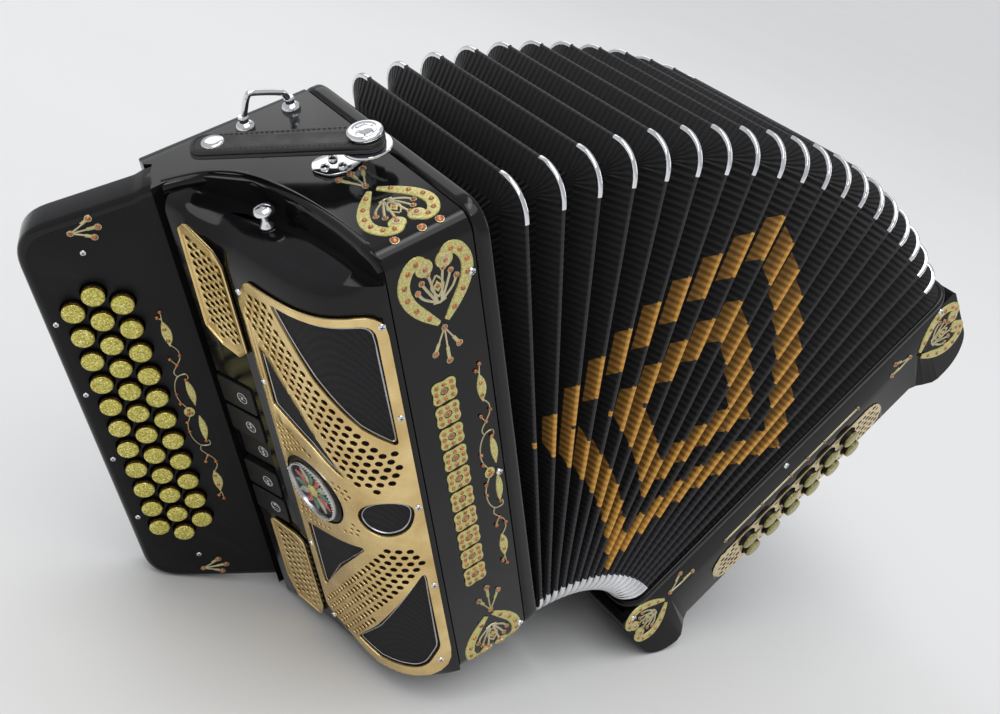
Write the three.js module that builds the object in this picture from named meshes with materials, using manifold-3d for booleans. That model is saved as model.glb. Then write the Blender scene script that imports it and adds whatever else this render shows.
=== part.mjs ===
// Three-row diatonic button accordion, standing with its bellows fanned open.
// Millimetres, +Z up, origin on the floor below the middle of the instrument.
import * as THREE from 'three';
import { mergeVertices } from 'three/addons/utils/BufferGeometryUtils.js';
import Module from 'manifold-3d';

const wasm = await Module();
wasm.setup();

// ---------- driving dimensions ----------
const GAP = 0.4; // clearance between neighbouring pieces

const CASE_HEIGHT = 320; // treble casing, along its keyboard
const CASE_DEPTH = 168; // front face to back
const STRIP_WIDTH = 48.5; // plain front strip beside the bellows
const WALL = 6;
const EDGE_RADIUS = 10;

const LEAN = THREE.MathUtils.degToRad(29.25); // the treble side leans out by this much
const FAN_ANGLE = THREE.MathUtils.degToRad(68.4); // treble side to bass side, bellows fanned open
const PLEATS = 20;
const PLEAT_ANGLE = FAN_ANGLE / PLEATS;
const FAN_X = 9; // the fan's centre, measured from the treble casing
const FAN_Z = -80;
const HINGE_RADIUS = 78; // the pleats fold about lines just under the bellows
const RIDGE_LOW = 79; // ridge ends, as distances from the fan's centre
const RIDGE_HIGH = 400;
const FOLD_THICKNESS = 3.4;
const FOLD_BAR = 24;
const FOLD_CORNER = 18;

const BUTTON_PITCH = 17.15;
const ROW_PITCH = 13.1;
const BUTTON_RADIUS = 6.8;
const BUTTON_PROUD = 4.7;
const FIRST_BUTTON_Z = 263; // top button of the twelve in the middle row
const BOARD_ANGLE = -0.442; // the fingerboard turns away from the front face
const BOARD_ORIGIN = [-147, 149.5];
const BOARD_THICKNESS = 5;
const BOARD_BACK = 22;

const REGISTERS = 5;
const REGISTER_PITCH = 22.5;
const REGISTER_TOP_Z = 189.5;
const REGISTER_MIDDLE = 129; // along the cover's bulge
const REGISTER_TRAVEL = 3;
const PRESSED_REGISTER = 3;

const BASS_LOW = 70; // bass casing ends, as distances from the fan's centre
const BASS_HIGH = 404;
const BASS_INNER = 4.6;
const BASS_OUTER = 80;
const BASS_SLOPE_START = 27;
const BASS_SLOPE = THREE.MathUtils.degToRad(11.5);
const BASS_BUTTON_PITCH = 20.9;
const BASS_BUTTON_MIDDLE = 232;
const BASS_BUTTON_ROWS = [23.5, 42.5]; // along the slope
const BASS_BUTTON_RADIUS = 7.4;

// ---------- materials ----------
function material(color, roughness, metalness) {
  return new THREE.MeshStandardMaterial({ color, roughness, metalness });
}
const celluloid = material(0x0c0c0d, 0.12, 0);
const satinBlack = material(0x121214, 0.45, 0);
const gold = material(0xdcbf82, 0.28, 1);
const glitterGold = material(0xb9b04c, 0.35, 0.6);
const chrome = material(0xd8dade, 0.08, 1);
const bellowsBlack = material(0x17181a, 0.7, 0);
const leather = material(0x151515, 0.5, 0);
const wood = material(0xb98f5c, 0.6, 0);
const reedMetal = material(0x9fa5a8, 0.35, 1);
const registerBlack = material(0x0e0e10, 0.25, 0);

// ---------- geometry helpers ----------
function roundCorners(corners, radii, steps = 4) {
  const points = [];
  corners.forEach((corner, i) => {
    const count = corners.length;
    const here = new THREE.Vector2(...corner);
    const before = new THREE.Vector2(...corners[(i + count - 1) % count]).sub(here);
    const after = new THREE.Vector2(...corners[(i + 1) % count]).sub(here);
    const radius = Array.isArray(radii) ? radii[i] : radii;
    if (!radius) {
      points.push([here.x, here.y]);
      return;
    }
    const half = Math.acos(before.clone().normalize().dot(after.clone().normalize())) / 2;
    const reach = radius / Math.tan(half);
    const from = here.clone().addScaledVector(before.normalize(), reach);
    const to = here.clone().addScaledVector(after.normalize(), reach);
    const axis = before.clone().add(after).normalize();
    const centre = here.clone().addScaledVector(axis, radius / Math.sin(half));
    const start = from.clone().sub(centre).angle();
    let sweep = to.clone().sub(centre).angle() - start;
    if (sweep > Math.PI) sweep -= 2 * Math.PI;
    if (sweep < -Math.PI) sweep += 2 * Math.PI;
    for (let k = 0; k <= steps; k += 1) {
      const angle = start + (sweep * k) / steps;
      points.push([centre.x + radius * Math.cos(angle), centre.y + radius * Math.sin(angle)]);
    }
  });
  return points;
}

function rectangle(x0, x1, y0, y1, radius = 0, steps = 4) {
  return roundCorners([[x0, y0], [x1, y0], [x1, y1], [x0, y1]], radius, steps);
}

function circle(x, y, radius, segments) {
  const points = [];
  for (let k = 0; k < segments; k += 1) {
    const angle = (2 * Math.PI * k) / segments;
    points.push([x + radius * Math.cos(angle), y + radius * Math.sin(angle)]);
  }
  return points;
}

const toPath = (points) => points.map(([x, y]) => new THREE.Vector2(x, y));

// A flat outline with holes, extruded along z, x or y.
function extrude(outline, from, to, axis = 'z', holes = []) {
  const shape = new THREE.Shape(toPath(outline));
  holes.forEach((hole) => shape.holes.push(new THREE.Path(toPath(hole))));
  const geometry = new THREE.ExtrudeGeometry(shape, { depth: to - from, bevelEnabled: false });
  geometry.translate(0, 0, from);
  const [x, y, z] = [[1, 0, 0], [0, 1, 0], [0, 0, 1]].map((v) => new THREE.Vector3(...v));
  if (axis === 'x') geometry.applyMatrix4(new THREE.Matrix4().makeBasis(y, z, x)); // outline is (y, z)
  if (axis === 'y') geometry.applyMatrix4(new THREE.Matrix4().makeBasis(z, x, y)); // outline is (z, x)
  return geometry;
}

function box(x0, x1, y0, y1, z0, z1) {
  const geometry = new THREE.BoxGeometry(x1 - x0, y1 - y0, z1 - z0);
  geometry.translate((x0 + x1) / 2, (y0 + y1) / 2, (z0 + z1) / 2);
  return geometry;
}

// Triangles that fill a flat loop, wound the same way round as the loop.
function fill(points) {
  const triangles = THREE.ShapeUtils.triangulateShape(points, []);
  const signedArea = triangles.reduce((sum, [a, b, c]) => sum + THREE.ShapeUtils.area([points[a], points[b], points[c]]), 0);
  const same = Math.sign(signedArea) === Math.sign(THREE.ShapeUtils.area(points));
  return same ? triangles : triangles.map(([a, b, c]) => [a, c, b]);
}

// A closed body through loops that have equal point counts.
function loft(loops) {
  const count = loops[0].length;
  const positions = loops.flat().flatMap((p) => [p.x, p.y, p.z]);
  const indices = [];
  for (let level = 0; level < loops.length - 1; level += 1) {
    for (let i = 0; i < count; i += 1) {
      const a = level * count + i;
      const b = level * count + ((i + 1) % count);
      indices.push(a, b, b + count, a, b + count, a + count);
    }
  }
  const cap = (level, flip) => {
    const flat = loops[level].map((p) => new THREE.Vector2(p.x, p.y));
    fill(flat).forEach(([a, b, c]) => {
      const base = level * count;
      indices.push(base + a, base + (flip ? c : b), base + (flip ? b : c));
    });
  };
  cap(0, true);
  cap(loops.length - 1, false);
  const geometry = new THREE.BufferGeometry();
  geometry.setAttribute('position', new THREE.Float32BufferAttribute(positions, 3));
  geometry.setIndex(indices);
  return outward(geometry);
}

function outward(geometry) {
  const index = geometry.index.array;
  const p = geometry.attributes.position;
  const point = (i) => new THREE.Vector3().fromBufferAttribute(p, index[i]);
  let volume = 0;
  for (let i = 0; i < index.length; i += 3) volume += point(i).dot(point(i + 1).cross(point(i + 2)));
  if (volume < 0) {
    for (let i = 0; i < index.length; i += 3) [index[i + 1], index[i + 2]] = [index[i + 2], index[i + 1]];
  }
  return geometry;
}

function solid(geometry) {
  const bare = geometry.clone();
  bare.deleteAttribute('normal');
  bare.deleteAttribute('uv');
  const merged = mergeVertices(bare, 1e-4);
  return new wasm.Manifold(new wasm.Mesh({
    numProp: 3,
    vertProperties: new Float32Array(merged.attributes.position.array),
    triVerts: new Uint32Array(merged.index.array),
  }));
}

function surface(manifold) {
  const mesh = manifold.getMesh();
  const geometry = new THREE.BufferGeometry();
  geometry.setAttribute('position', new THREE.Float32BufferAttribute(mesh.vertProperties, 3));
  geometry.setIndex(new THREE.Uint32BufferAttribute(mesh.triVerts, 1));
  const faceted = geometry.toNonIndexed();
  faceted.computeVertexNormals();
  return faceted;
}

const join = (...geometries) => surface(geometries.map(solid).reduce((a, b) => a.add(b)));
const cut = (base, ...cutters) => surface(cutters.map(solid).reduce((a, b) => a.subtract(b), solid(base)));

function place(parent, name, geometry, looks) {
  const mesh = new THREE.Mesh(geometry, looks);
  mesh.name = name;
  parent.add(mesh);
  return mesh;
}

function frameAt(parent, x, y, z, turn = 0) {
  const group = new THREE.Group();
  group.position.set(x, y, z);
  group.rotation.z = turn;
  parent.add(group);
  return group;
}

// A turned piece along the local z axis: profile points are (radius, height).
function turned(profile, segments) {
  const upward = profile[0][1] > profile.at(-1)[1] ? [...profile].reverse() : profile;
  return new THREE.LatheGeometry(toPath(upward), segments).rotateX(Math.PI / 2);
}

// ---------- treble casing ----------
const model = new THREE.Group();
const instrument = new THREE.Group();
instrument.rotation.y = -LEAN;
model.add(instrument);

// Where the casing's top ends, from the front strip back to the fingerboard.
const LIP = [[-48.5, 1], [-48.5, 8], [-48.5, 16], [-48.5, 26], [-48.5, 40],
  [-50.4, 54.5], [-53, 71], [-60.5, 101.5], [-80, 125.8], [-92, 130.2]];
// The cover bulges out from the strip and runs back to the fingerboard.
const BULGE = [[-50, 0.6], [-58, 3.2], [-68, 8.8], [-77, 18], [-83.5, 31.5],
  [-87.6, 48], [-90.6, 66], [-94.6, 89], [-99.3, 107], [-104.2, 122.5]];

const boardPoint = (u, v) => {
  const [x, y] = BOARD_ORIGIN;
  return [x + u * Math.cos(BOARD_ANGLE) - v * Math.sin(BOARD_ANGLE),
    y + u * Math.sin(BOARD_ANGLE) + v * Math.cos(BOARD_ANGLE)];
};
const BOARD_EDGE = 45;

const shoulderOutline = [[-46, 38], ...LIP.slice(4), boardPoint(BOARD_EDGE + 0.6, -0.8),
  boardPoint(BOARD_EDGE + 0.6, BOARD_BACK + 0.6), boardPoint(BOARD_EDGE - 4, BOARD_BACK + 2),
  [-99.4, 160], [-94, CASE_DEPTH], [-46, CASE_DEPTH]];
const shoulderHollow = [[-42, 112], [-60, 112], [-77, 131], [-92, 136], [-98, 136],
  [-91.5, 150], [-92, 160], [-42, 160]];
place(instrument, 'treble_frame', surface(
  solid(extrude(rectangle(0, CASE_DEPTH, 0, CASE_HEIGHT, EDGE_RADIUS), -STRIP_WIDTH, 0, 'x'))
    .add(solid(extrude(shoulderOutline, 8, CASE_HEIGHT))
      .intersect(solid(extrude(rectangle(0, CASE_DEPTH, 0, CASE_HEIGHT, EDGE_RADIUS), -130, 0, 'x'))))
    .subtract(solid(box(-STRIP_WIDTH + 5.5, 1, WALL, CASE_DEPTH - WALL, WALL, CASE_HEIGHT - WALL)))
    .subtract(solid(extrude(shoulderHollow, 14, CASE_HEIGHT - WALL)))
    .subtract(solid(box(-STRIP_WIDTH - 1, -42, 14, 90, 14, 290))),
), celluloid);

place(instrument, 'treble_soundboard',
  box(-42.4, -38.4, WALL + GAP, 104, WALL + GAP, CASE_HEIGHT - WALL - GAP), wood);
const reedBlocks = join(
  box(-37.9, -6, 20, 96, 20, 24),
  ...[20, 42, 64].map((y) => box(-37.9, -6, y, y + 14, 23, 297)),
);
place(instrument, 'treble_reed_block', reedBlocks, reedMetal);

// ---------- cover ----------
const bulge = new THREE.SplineCurve(toPath(BULGE));
bulge.arcLengthDivisions = 400;
const BULGE_LENGTH = bulge.getLength();
const STEPS = 3; // cover facets per node interval
const LAST = (BULGE.length - 1) * STEPS;

function bulgeAt(distance, offset) {
  const share = THREE.MathUtils.clamp(distance / BULGE_LENGTH, 0, 1);
  const tangent = bulge.getTangentAt(share);
  const point = bulge.getPointAt(share);
  return new THREE.Vector2(point.x - tangent.y * offset, point.y + tangent.x * offset);
}

function bulgeNode(i, offset) {
  const tangent = bulge.getTangent(i / LAST);
  const point = bulge.getPoint(i / LAST);
  return new THREE.Vector2(point.x - tangent.y * offset, point.y + tangent.x * offset);
}

function lipNode(i, shift) {
  const node = Math.min(Math.floor(i / STEPS), LIP.length - 2);
  const share = i / STEPS - node;
  const [a, b] = [LIP[node], LIP[node + 1]];
  return new THREE.Vector2(a[0] + (b[0] - a[0]) * share + shift[0], a[1] + (b[1] - a[1]) * share + shift[1]);
}

// One level of the cover: share 0 lies on the bulge, share 1 on the lip.
function coverLevel(height, share, inset = 0, shift = [-0.5, -0.4], first = 0, last = LAST) {
  const outer = [];
  const inner = [];
  for (let i = first; i <= last; i += 1) {
    const rise = THREE.MathUtils.smoothstep(i / LAST, 0.76, 0.94);
    const z = height[0] + (height[1] - height[0]) * rise;
    const lip = lipNode(i, shift);
    const point = bulgeNode(i, -inset).lerp(lip, share);
    outer.push(new THREE.Vector3(point.x, point.y, z));
    inner.unshift(new THREE.Vector3(lip.x, lip.y, z));
  }
  return [...outer, ...inner];
}

const coverBody = loft([
  coverLevel([2, 2], 0.12),
  coverLevel([7, 7], 0),
  coverLevel([291, 309], 0),
  coverLevel([300, 313], 0.15),
  coverLevel([304, 315], 0.35),
  coverLevel([304.4, 315.4], 0.9),
  coverLevel([319, 319], 0.92),
]);
const hollow = (height, share) => coverLevel(height, share, 3.5, [4, 2], 3, LAST - 2);
const coverHollow = loft([
  hollow([8, 8], 0), hollow([288, 305], 0), hollow([295, 308], 0.2), hollow([299.5, 310], 0.45),
]);

// A cutter that follows the bulge: the loop is (distance along the bulge, height).
function bulgePrism(loop, inner, outer, spacing = 7) {
  const dense = [];
  loop.forEach((point, i) => {
    const next = loop[(i + 1) % loop.length];
    const length = Math.hypot(next[0] - point[0], next[1] - point[1]);
    const parts = Math.max(1, Math.ceil(Math.abs(next[0] - point[0]) / spacing), length > 400 ? 2 : 1);
    for (let k = 0; k < parts; k += 1) {
      dense.push([point[0] + ((next[0] - point[0]) * k) / parts, point[1] + ((next[1] - point[1]) * k) / parts]);
    }
  });
  const count = dense.length;
  const positions = [];
  [inner, outer].forEach((offset) => dense.forEach(([distance, z]) => {
    const point = bulgeAt(distance, offset);
    positions.push(point.x, point.y, z);
  }));
  const indices = [];
  fill(toPath(dense)).forEach(([a, b, c]) => {
    indices.push(a, b, c, count + a, count + c, count + b);
  });
  for (let i = 0; i < count; i += 1) {
    const j = (i + 1) % count;
    indices.push(i, count + i, j, j, count + i, count + j);
  }
  const geometry = new THREE.BufferGeometry();
  geometry.setAttribute('position', new THREE.Float32BufferAttribute(positions, 3));
  geometry.setIndex(indices);
  return outward(geometry);
}

const REGISTER_BAY = [[113, 88], [142, 88], [142, 201], [113, 201]];
place(instrument, 'treble_cover', cut(coverBody, coverHollow,
  bulgePrism([[12, 16], [90, 16], [90, 276], [12, 276]], -9, 32),
  bulgePrism([[108, 18], [127, 18], [127, 76], [108, 76]], -9, 32),
  bulgePrism([[108, 238], [128, 238], [128, 292], [108, 286]], -9, 32),
  bulgePrism(REGISTER_BAY, -9, 32)), celluloid);

// ---------- grilles ----------
// A sheet that follows the bulge, cut to an outline with windows.
function bulgeSheet(outline, windows, offset, thickness) {
  const distances = outline.map(([distance]) => distance);
  const heights = outline.map(([, z]) => z);
  const from = Math.min(...distances) - 1;
  const to = Math.max(...distances) + 1;
  const steps = Math.ceil((to - from) / 6);
  const near = [];
  const far = [];
  for (let i = 0; i <= steps; i += 1) {
    const distance = from + ((to - from) * i) / steps;
    near.push(bulgeAt(distance, offset).toArray());
    far.unshift(bulgeAt(distance, offset + thickness).toArray());
  }
  const sheet = solid(extrude([...near, ...far], Math.min(...heights) - 1, Math.max(...heights) + 1));
  const trimmed = sheet.intersect(solid(bulgePrism(outline, -9, 32)));
  return surface(windows.reduce((body, loop) => body.subtract(solid(bulgePrism(loop, -9, 32))), trimmed));
}

const MEDALLION = [70.5, 151];
const grilleOutline = roundCorners([[2.5, 7.5], [52, 7.5], [94.5, 27], [94.5, 274], [84, 291], [2.5, 291]],
  [20, 6, 8, 8, 5, 13], 3);
const grilleWindows = [
  [[8, 286], [64, 286], [45.5, 248], [24, 219], [8, 204]],
  [[87, 250], [88.5, 206], [60, 192], [37, 174.5], [55, 202], [70, 226]],
  roundCorners([[8, 161], [28, 163], [38, 148], [28, 137], [10, 142]], 5, 2),
  [[37, 123.5], [88.5, 111], [88.5, 53], [65, 88]],
  [[8, 105], [43, 51], [65, 22], [48, 16.5], [19, 23], [8, 40]],
  circle(...MEDALLION, 22.5, 16),
];
place(instrument, 'main_grille', bulgeSheet(grilleOutline, grilleWindows, 0.8, 2), gold);
place(instrument, 'upper_side_grille', bulgeSheet(
  roundCorners([[103, 290], [108, 298], [126, 308], [131, 304], [133, 240], [123, 231], [110, 228], [103, 234]], 2, 2),
  [[[107, 288], [126, 300], [128, 242], [112, 233], [107, 236]]], 0.8, 1.6), gold);
place(instrument, 'lower_side_grille', bulgeSheet(
  roundCorners([[102.5, 81], [108, 84], [130, 87], [130.5, 32], [125.5, 14], [106, 9], [102, 20]], 2, 2),
  [[[107, 78], [126, 82], [126.5, 33], [122, 18], [108, 14]]], 0.8, 1.6), gold);

// ---------- register tabs ----------
for (let k = 1; k <= REGISTERS; k += 1) {
  const tangent = bulge.getTangentAt(REGISTER_MIDDLE / BULGE_LENGTH);
  const point = bulgeAt(REGISTER_MIDDLE, 0);
  const z = REGISTER_TOP_Z - (k - 1) * REGISTER_PITCH;
  const pressed = k === PRESSED_REGISTER ? REGISTER_TRAVEL : 0;
  const tab = frameAt(instrument, point.x, point.y, z, Math.atan2(tangent.y, tangent.x));
  place(tab, `register_tab_${k}`, join(
    extrude(rectangle(-15.5, 12, -10, 10, 1.5, 2), -4.5, 1.5, 'y').rotateY(Math.PI / 2),
    box(-4, 4, -12, -4, -4, 4),
  ).translate(0, -pressed, 0), registerBlack);
}

// ---------- fingerboard and treble buttons ----------
const board = frameAt(instrument, ...BOARD_ORIGIN, 0, BOARD_ANGLE);
const boardOutline = roundCorners([[BOARD_EDGE, 320], [-31, 306], [-31, 36], [-5, 28], [BOARD_EDGE, 14]],
  [2, 24, 26, 10, 2], 5).map(([u, z]) => [z, u]);
const boardHollow = roundCorners([[BOARD_EDGE - 4, 314], [-27, 301], [-27, 40], [-4, 33], [BOARD_EDGE - 4, 20]],
  [2, 20, 22, 10, 2], 3).map(([u, z]) => [z, u]);
const rows = [
  { name: 'outer', u: -ROW_PITCH, count: 11, start: 0.5 },
  { name: 'middle', u: 0, count: 12, start: 0 },
  { name: 'inner', u: ROW_PITCH, count: 11, start: 0.5 },
];
const buttonHeight = (row, i) => FIRST_BUTTON_Z - (row.start + i) * BUTTON_PITCH;
const boardHoles = rows.flatMap((row) => Array.from({ length: row.count },
  (_, i) => circle(buttonHeight(row, i), row.u, BUTTON_RADIUS + 0.6, 10)));
place(board, 'fingerboard', extrude(boardOutline, 0, BOARD_THICKNESS, 'y', boardHoles), satinBlack);
place(board, 'fingerboard_housing', cut(
  extrude(boardOutline, BOARD_THICKNESS + GAP, BOARD_BACK, 'y'),
  extrude(boardHollow, BOARD_THICKNESS, BOARD_BACK - 3.5, 'y')), celluloid);
rows.forEach((row) => {
  const middle = frameAt(board, row.u, 0, 0);
  const cap = turned([[0, BUTTON_PROUD], [5, 4.2], [BUTTON_RADIUS, 2.6], [BUTTON_RADIUS, -10], [0, -10]], 10);
  const caps = Array.from({ length: row.count },
    (_, i) => cap.clone().rotateX(Math.PI / 2).translate(0, 0, buttonHeight(row, i)));
  const rail = box(-3.5, 3.5, 9.5, 13, buttonHeight(row, row.count - 1) - 4, buttonHeight(row, 0) + 4);
  place(middle, `treble_buttons_${row.name}_row`, join(rail, ...caps), glitterGold);
});

// ---------- fittings on the treble side ----------
const loopPath = new THREE.CatmullRomCurve3([[-43, 148, 320.6], [-42.4, 147.3, 327], [-39.3, 146.8, 335.5],
  [-36, 146.4, 338.4], [-28, 146.3, 335.5], [-19.5, 146.5, 332], [-16.4, 147.4, 327], [-15.5, 148, 320.6]]
  .map((p) => new THREE.Vector3(...p)), false, 'catmullrom', 0.3);
place(instrument, 'strap_loop_bracket', join(
  new THREE.ExtrudeGeometry(new THREE.Shape(toPath(circle(0, 0, 1.7, 8))), { extrudePath: loopPath, steps: 16 }),
  ...[-43, -15.5].map((x) => turned([[0, 0.4], [5, 0.4], [4, 3], [0, 3.4]], 10).translate(x, 148, CASE_HEIGHT)),
), chrome);

const STUD = [-68.7, 81, 304.8];
place(instrument, 'shoulder_strap_stud', turned([[0, 0], [4, 0], [3, 2], [2.4, 7], [5.6, 8.5], [5.6, 10],
  [3.5, 11.6], [0, 12]], 12).translate(...STUD), chrome);

const KNOB = [-13.1, 68];
const STRAP_LEVEL = 334;
const bracketBase = roundCorners([[-37.5, 84], [-34, 74], [-24, 70.5], [-13, 75], [-12, 90], [-34, 93]], 4, 2);
place(instrument, 'strap_bracket', join(
  extrude(bracketBase, CASE_HEIGHT + GAP, CASE_HEIGHT + 2.4),
  extrude([[80, 320.6], [84, 320.6], [75, 333], [70, 333], [70, 331.2], [73, 331.2]], -18, -8, 'x'),
  extrude(circle(...KNOB, 9, 14), STRAP_LEVEL - 3.4, STRAP_LEVEL - 0.6),
), chrome);
place(instrument, 'strap_knob', turned([[0, -0.3], [3, -0.3], [3, 4.6], [8.6, 4.9], [9.3, 6], [9.1, 7.4],
  [7.4, 8.4], [0, 8.7]], 16).translate(...KNOB, STRAP_LEVEL), chrome);

// The bellows strap turns on the knob; it is parked over the top of the casing.
const STRAP_REACH = 89;
const strapTurn = frameAt(instrument, ...KNOB, STRAP_LEVEL, Math.atan2(48.8, -59.7));
const strapOutline = roundCorners([[-9, -11], [STRAP_REACH, -9], [STRAP_REACH, 8.5], [-9, 9.5]], [8.5, 8, 8, 8.5], 4);
place(strapTurn, 'bellows_strap', extrude(strapOutline, 0, 4, 'z', [circle(0, 0, 3.8, 10)]), leather);

// ---------- bellows ----------
const frameWindow = rectangle(24, 144, 22, 298, 4, 1).reverse();
place(instrument, 'treble_bellows_frame',
  extrude(rectangle(-1.5, 169.5, -1.5, 321.5, 19, 5), GAP, 10.4, 'x', [frameWindow]), celluloid);

// Each fold hangs on the one before it; the chain opens like a fan.
const foldOutline = rectangle(0.5, CASE_DEPTH - 0.5, RIDGE_LOW, RIDGE_HIGH, FOLD_CORNER, 4);
const foldWindow = rectangle(0.5 + FOLD_BAR, CASE_DEPTH - 0.5 - FOLD_BAR,
  RIDGE_LOW + FOLD_BAR, RIDGE_HIGH - FOLD_BAR, 4, 1).reverse();
const fan = new THREE.Group();
fan.position.set(FAN_X, 0, FAN_Z);
instrument.add(fan);
function atPleat(k, hinge) {
  const group = new THREE.Group();
  const hingeAngle = (hinge - 0.5) * PLEAT_ANGLE;
  const pivot = new THREE.Vector3(Math.sin(hingeAngle), 0, Math.cos(hingeAngle)).multiplyScalar(HINGE_RADIUS);
  group.position.copy(pivot);
  group.rotation.y = k * PLEAT_ANGLE;
  fan.add(group);
  const inner = new THREE.Group();
  inner.position.copy(pivot.clone().applyAxisAngle(new THREE.Vector3(0, 1, 0), -k * PLEAT_ANGLE).negate());
  group.add(inner);
  return inner;
}
for (let k = 1; k < PLEATS; k += 1) {
  place(atPleat(k, k), `bellows_fold_${String(k).padStart(2, '0')}`,
    extrude(foldOutline, -FOLD_THICKNESS / 2, FOLD_THICKNESS / 2, 'x', [foldWindow]), bellowsBlack);
}

// ---------- bass side ----------
const bass = atPleat(PLEATS, PLEATS);
const bassWindow = rectangle(24, 144, RIDGE_LOW + 22, RIDGE_HIGH - 22, 4, 1).reverse();
place(bass, 'bass_bellows_frame', extrude(rectangle(-1.5, 169.5, RIDGE_LOW - 2, RIDGE_HIGH + 2, 19, 5),
  -1.6, BASS_INNER - GAP, 'x', [bassWindow]), celluloid);

// Outline as (distance from the fan's centre, distance out from the bellows).
const bassOutline = roundCorners([[BASS_LOW, BASS_INNER], [BASS_HIGH, BASS_INNER],
  [BASS_HIGH, BASS_OUTER], [BASS_LOW, BASS_OUTER]], [3, 3, 26, 28], 9);
const slopeEnd = [BASS_OUTER + 3, (BASS_OUTER + 3 - BASS_SLOPE_START) * Math.tan(BASS_SLOPE)];
const slopeLevels = [[94, 0.02], [98, 0.1], [103, 0.42], [108, 0.8], [113, 1]];
const farLevels = slopeLevels.map(([z, drop]) => [2 * BASS_BUTTON_MIDDLE - z, drop]).reverse();
const slopeCut = loft([...slopeLevels, ...farLevels].map(([z, drop]) => {
  return [[BASS_SLOPE_START, 0], [BASS_SLOPE_START, -4], [slopeEnd[0], -4], [slopeEnd[0], slopeEnd[1] * drop]]
    .map(([x, y]) => new THREE.Vector3(x, y, z));
}));
const bassSection = extrude([[BASS_INNER - 1, WALL], [BASS_SLOPE_START, WALL], [BASS_OUTER - WALL, 17],
  [BASS_OUTER - WALL, CASE_DEPTH - WALL], [BASS_INNER - 1, CASE_DEPTH - WALL]], BASS_LOW, BASS_HIGH);
const bassInside = extrude(roundCorners([[BASS_LOW + WALL, BASS_INNER - 1], [BASS_HIGH - WALL, BASS_INNER - 1],
  [BASS_HIGH - WALL, BASS_OUTER - WALL], [BASS_LOW + WALL, BASS_OUTER - WALL]], [0, 0, 18, 20], 3), 0, CASE_DEPTH, 'y');
const bassHollow = surface(solid(bassSection).intersect(solid(bassInside)));

function onSlope(geometry) {
  return geometry.rotateZ(BASS_SLOPE).translate(BASS_SLOPE_START, 0, 0);
}
const bassButtons = BASS_BUTTON_ROWS.flatMap((u, row) => Array.from({ length: 6 },
  (_, i) => ({ u, z: BASS_BUTTON_MIDDLE + (2.5 - i) * BASS_BUTTON_PITCH, number: row * 6 + i + 1 })));
const buttonBores = bassButtons.map(({ u, z }) => onSlope(
  extrude(circle(z, u, BASS_BUTTON_RADIUS + 0.6, 12), -3, 16, 'y')));
const AIR = { y: 44, z: 372, radius: 7.5 };
const airBore = extrude(circle(AIR.y, AIR.z, AIR.radius + 0.5, 14), BASS_OUTER - 12, BASS_OUTER + 4, 'x');
place(bass, 'bass_casing', cut(
  extrude(bassOutline, 0, CASE_DEPTH, 'y'), slopeCut, bassHollow, ...buttonBores, airBore), celluloid);

const plateOutline = roundCorners([[145, 32], [152, 14], [312, 14], [319, 32], [312, 51], [152, 51]], 4, 2);
place(bass, 'bass_button_plate', onSlope(extrude(plateOutline, -1.8, -GAP, 'y',
  bassButtons.map(({ u, z }) => circle(z, u, BASS_BUTTON_RADIUS + 0.6, 12)))), gold);

const slope = frameAt(bass, BASS_SLOPE_START, 0, 0, BASS_SLOPE);
bassButtons.forEach(({ u, z, number }) => {
  const button = frameAt(slope, u, 0, z);
  place(button, `bass_button_${String(number).padStart(2, '0')}`, turned(
    [[0, 6], [5, 5.6], [BASS_BUTTON_RADIUS, 4], [BASS_BUTTON_RADIUS, -9], [0, -9]], 12).rotateX(Math.PI / 2),
  glitterGold);
});

place(bass, 'bass_reed_block', join(
  box(33, 37, 66, 150, 96, 380),
  ...[68, 94, 120].map((y) => box(12, 34, y, y + 16, 100, 376)),
), reedMetal);

// The hand strap bows out from the bass casing so that a hand fits under it.
const strapOuter = [];
const strapInner = [];
for (let i = 0; i <= 16; i += 1) {
  const share = i / 16;
  const bow = Math.sin(Math.PI * share) ** 0.7 * 34;
  strapOuter.push([102 + 264 * share, BASS_OUTER + 4.4 + bow]);
  strapInner.unshift([102 + 264 * share, BASS_OUTER + GAP + bow]);
}
place(bass, 'bass_hand_strap', extrude([...strapOuter, ...strapInner], 96, 150, 'y'), leather);

const airButton = frameAt(bass, BASS_OUTER, AIR.y, AIR.z);
place(airButton, 'air_button', turned([[0, 9], [5.5, 8.2], [AIR.radius, 6], [AIR.radius, -11], [0, -11]], 14)
  .rotateY(Math.PI / 2), chrome);

// ---------- stand the instrument on the floor, centred ----------
model.updateMatrixWorld(true);
const bounds = new THREE.Box3().setFromObject(model, true);
model.position.set(-(bounds.min.x + bounds.max.x) / 2, -(bounds.min.y + bounds.max.y) / 2, -bounds.min.z);

export default model;
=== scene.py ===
"""Looks of the three-row button accordion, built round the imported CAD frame.

Lengths are millimetres in the instrument's own frames, until a matrix turns them into the row
frame, in metres.
"""
import bisect
import math

import bmesh
import bpy
from mathutils import Matrix, Vector


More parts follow.
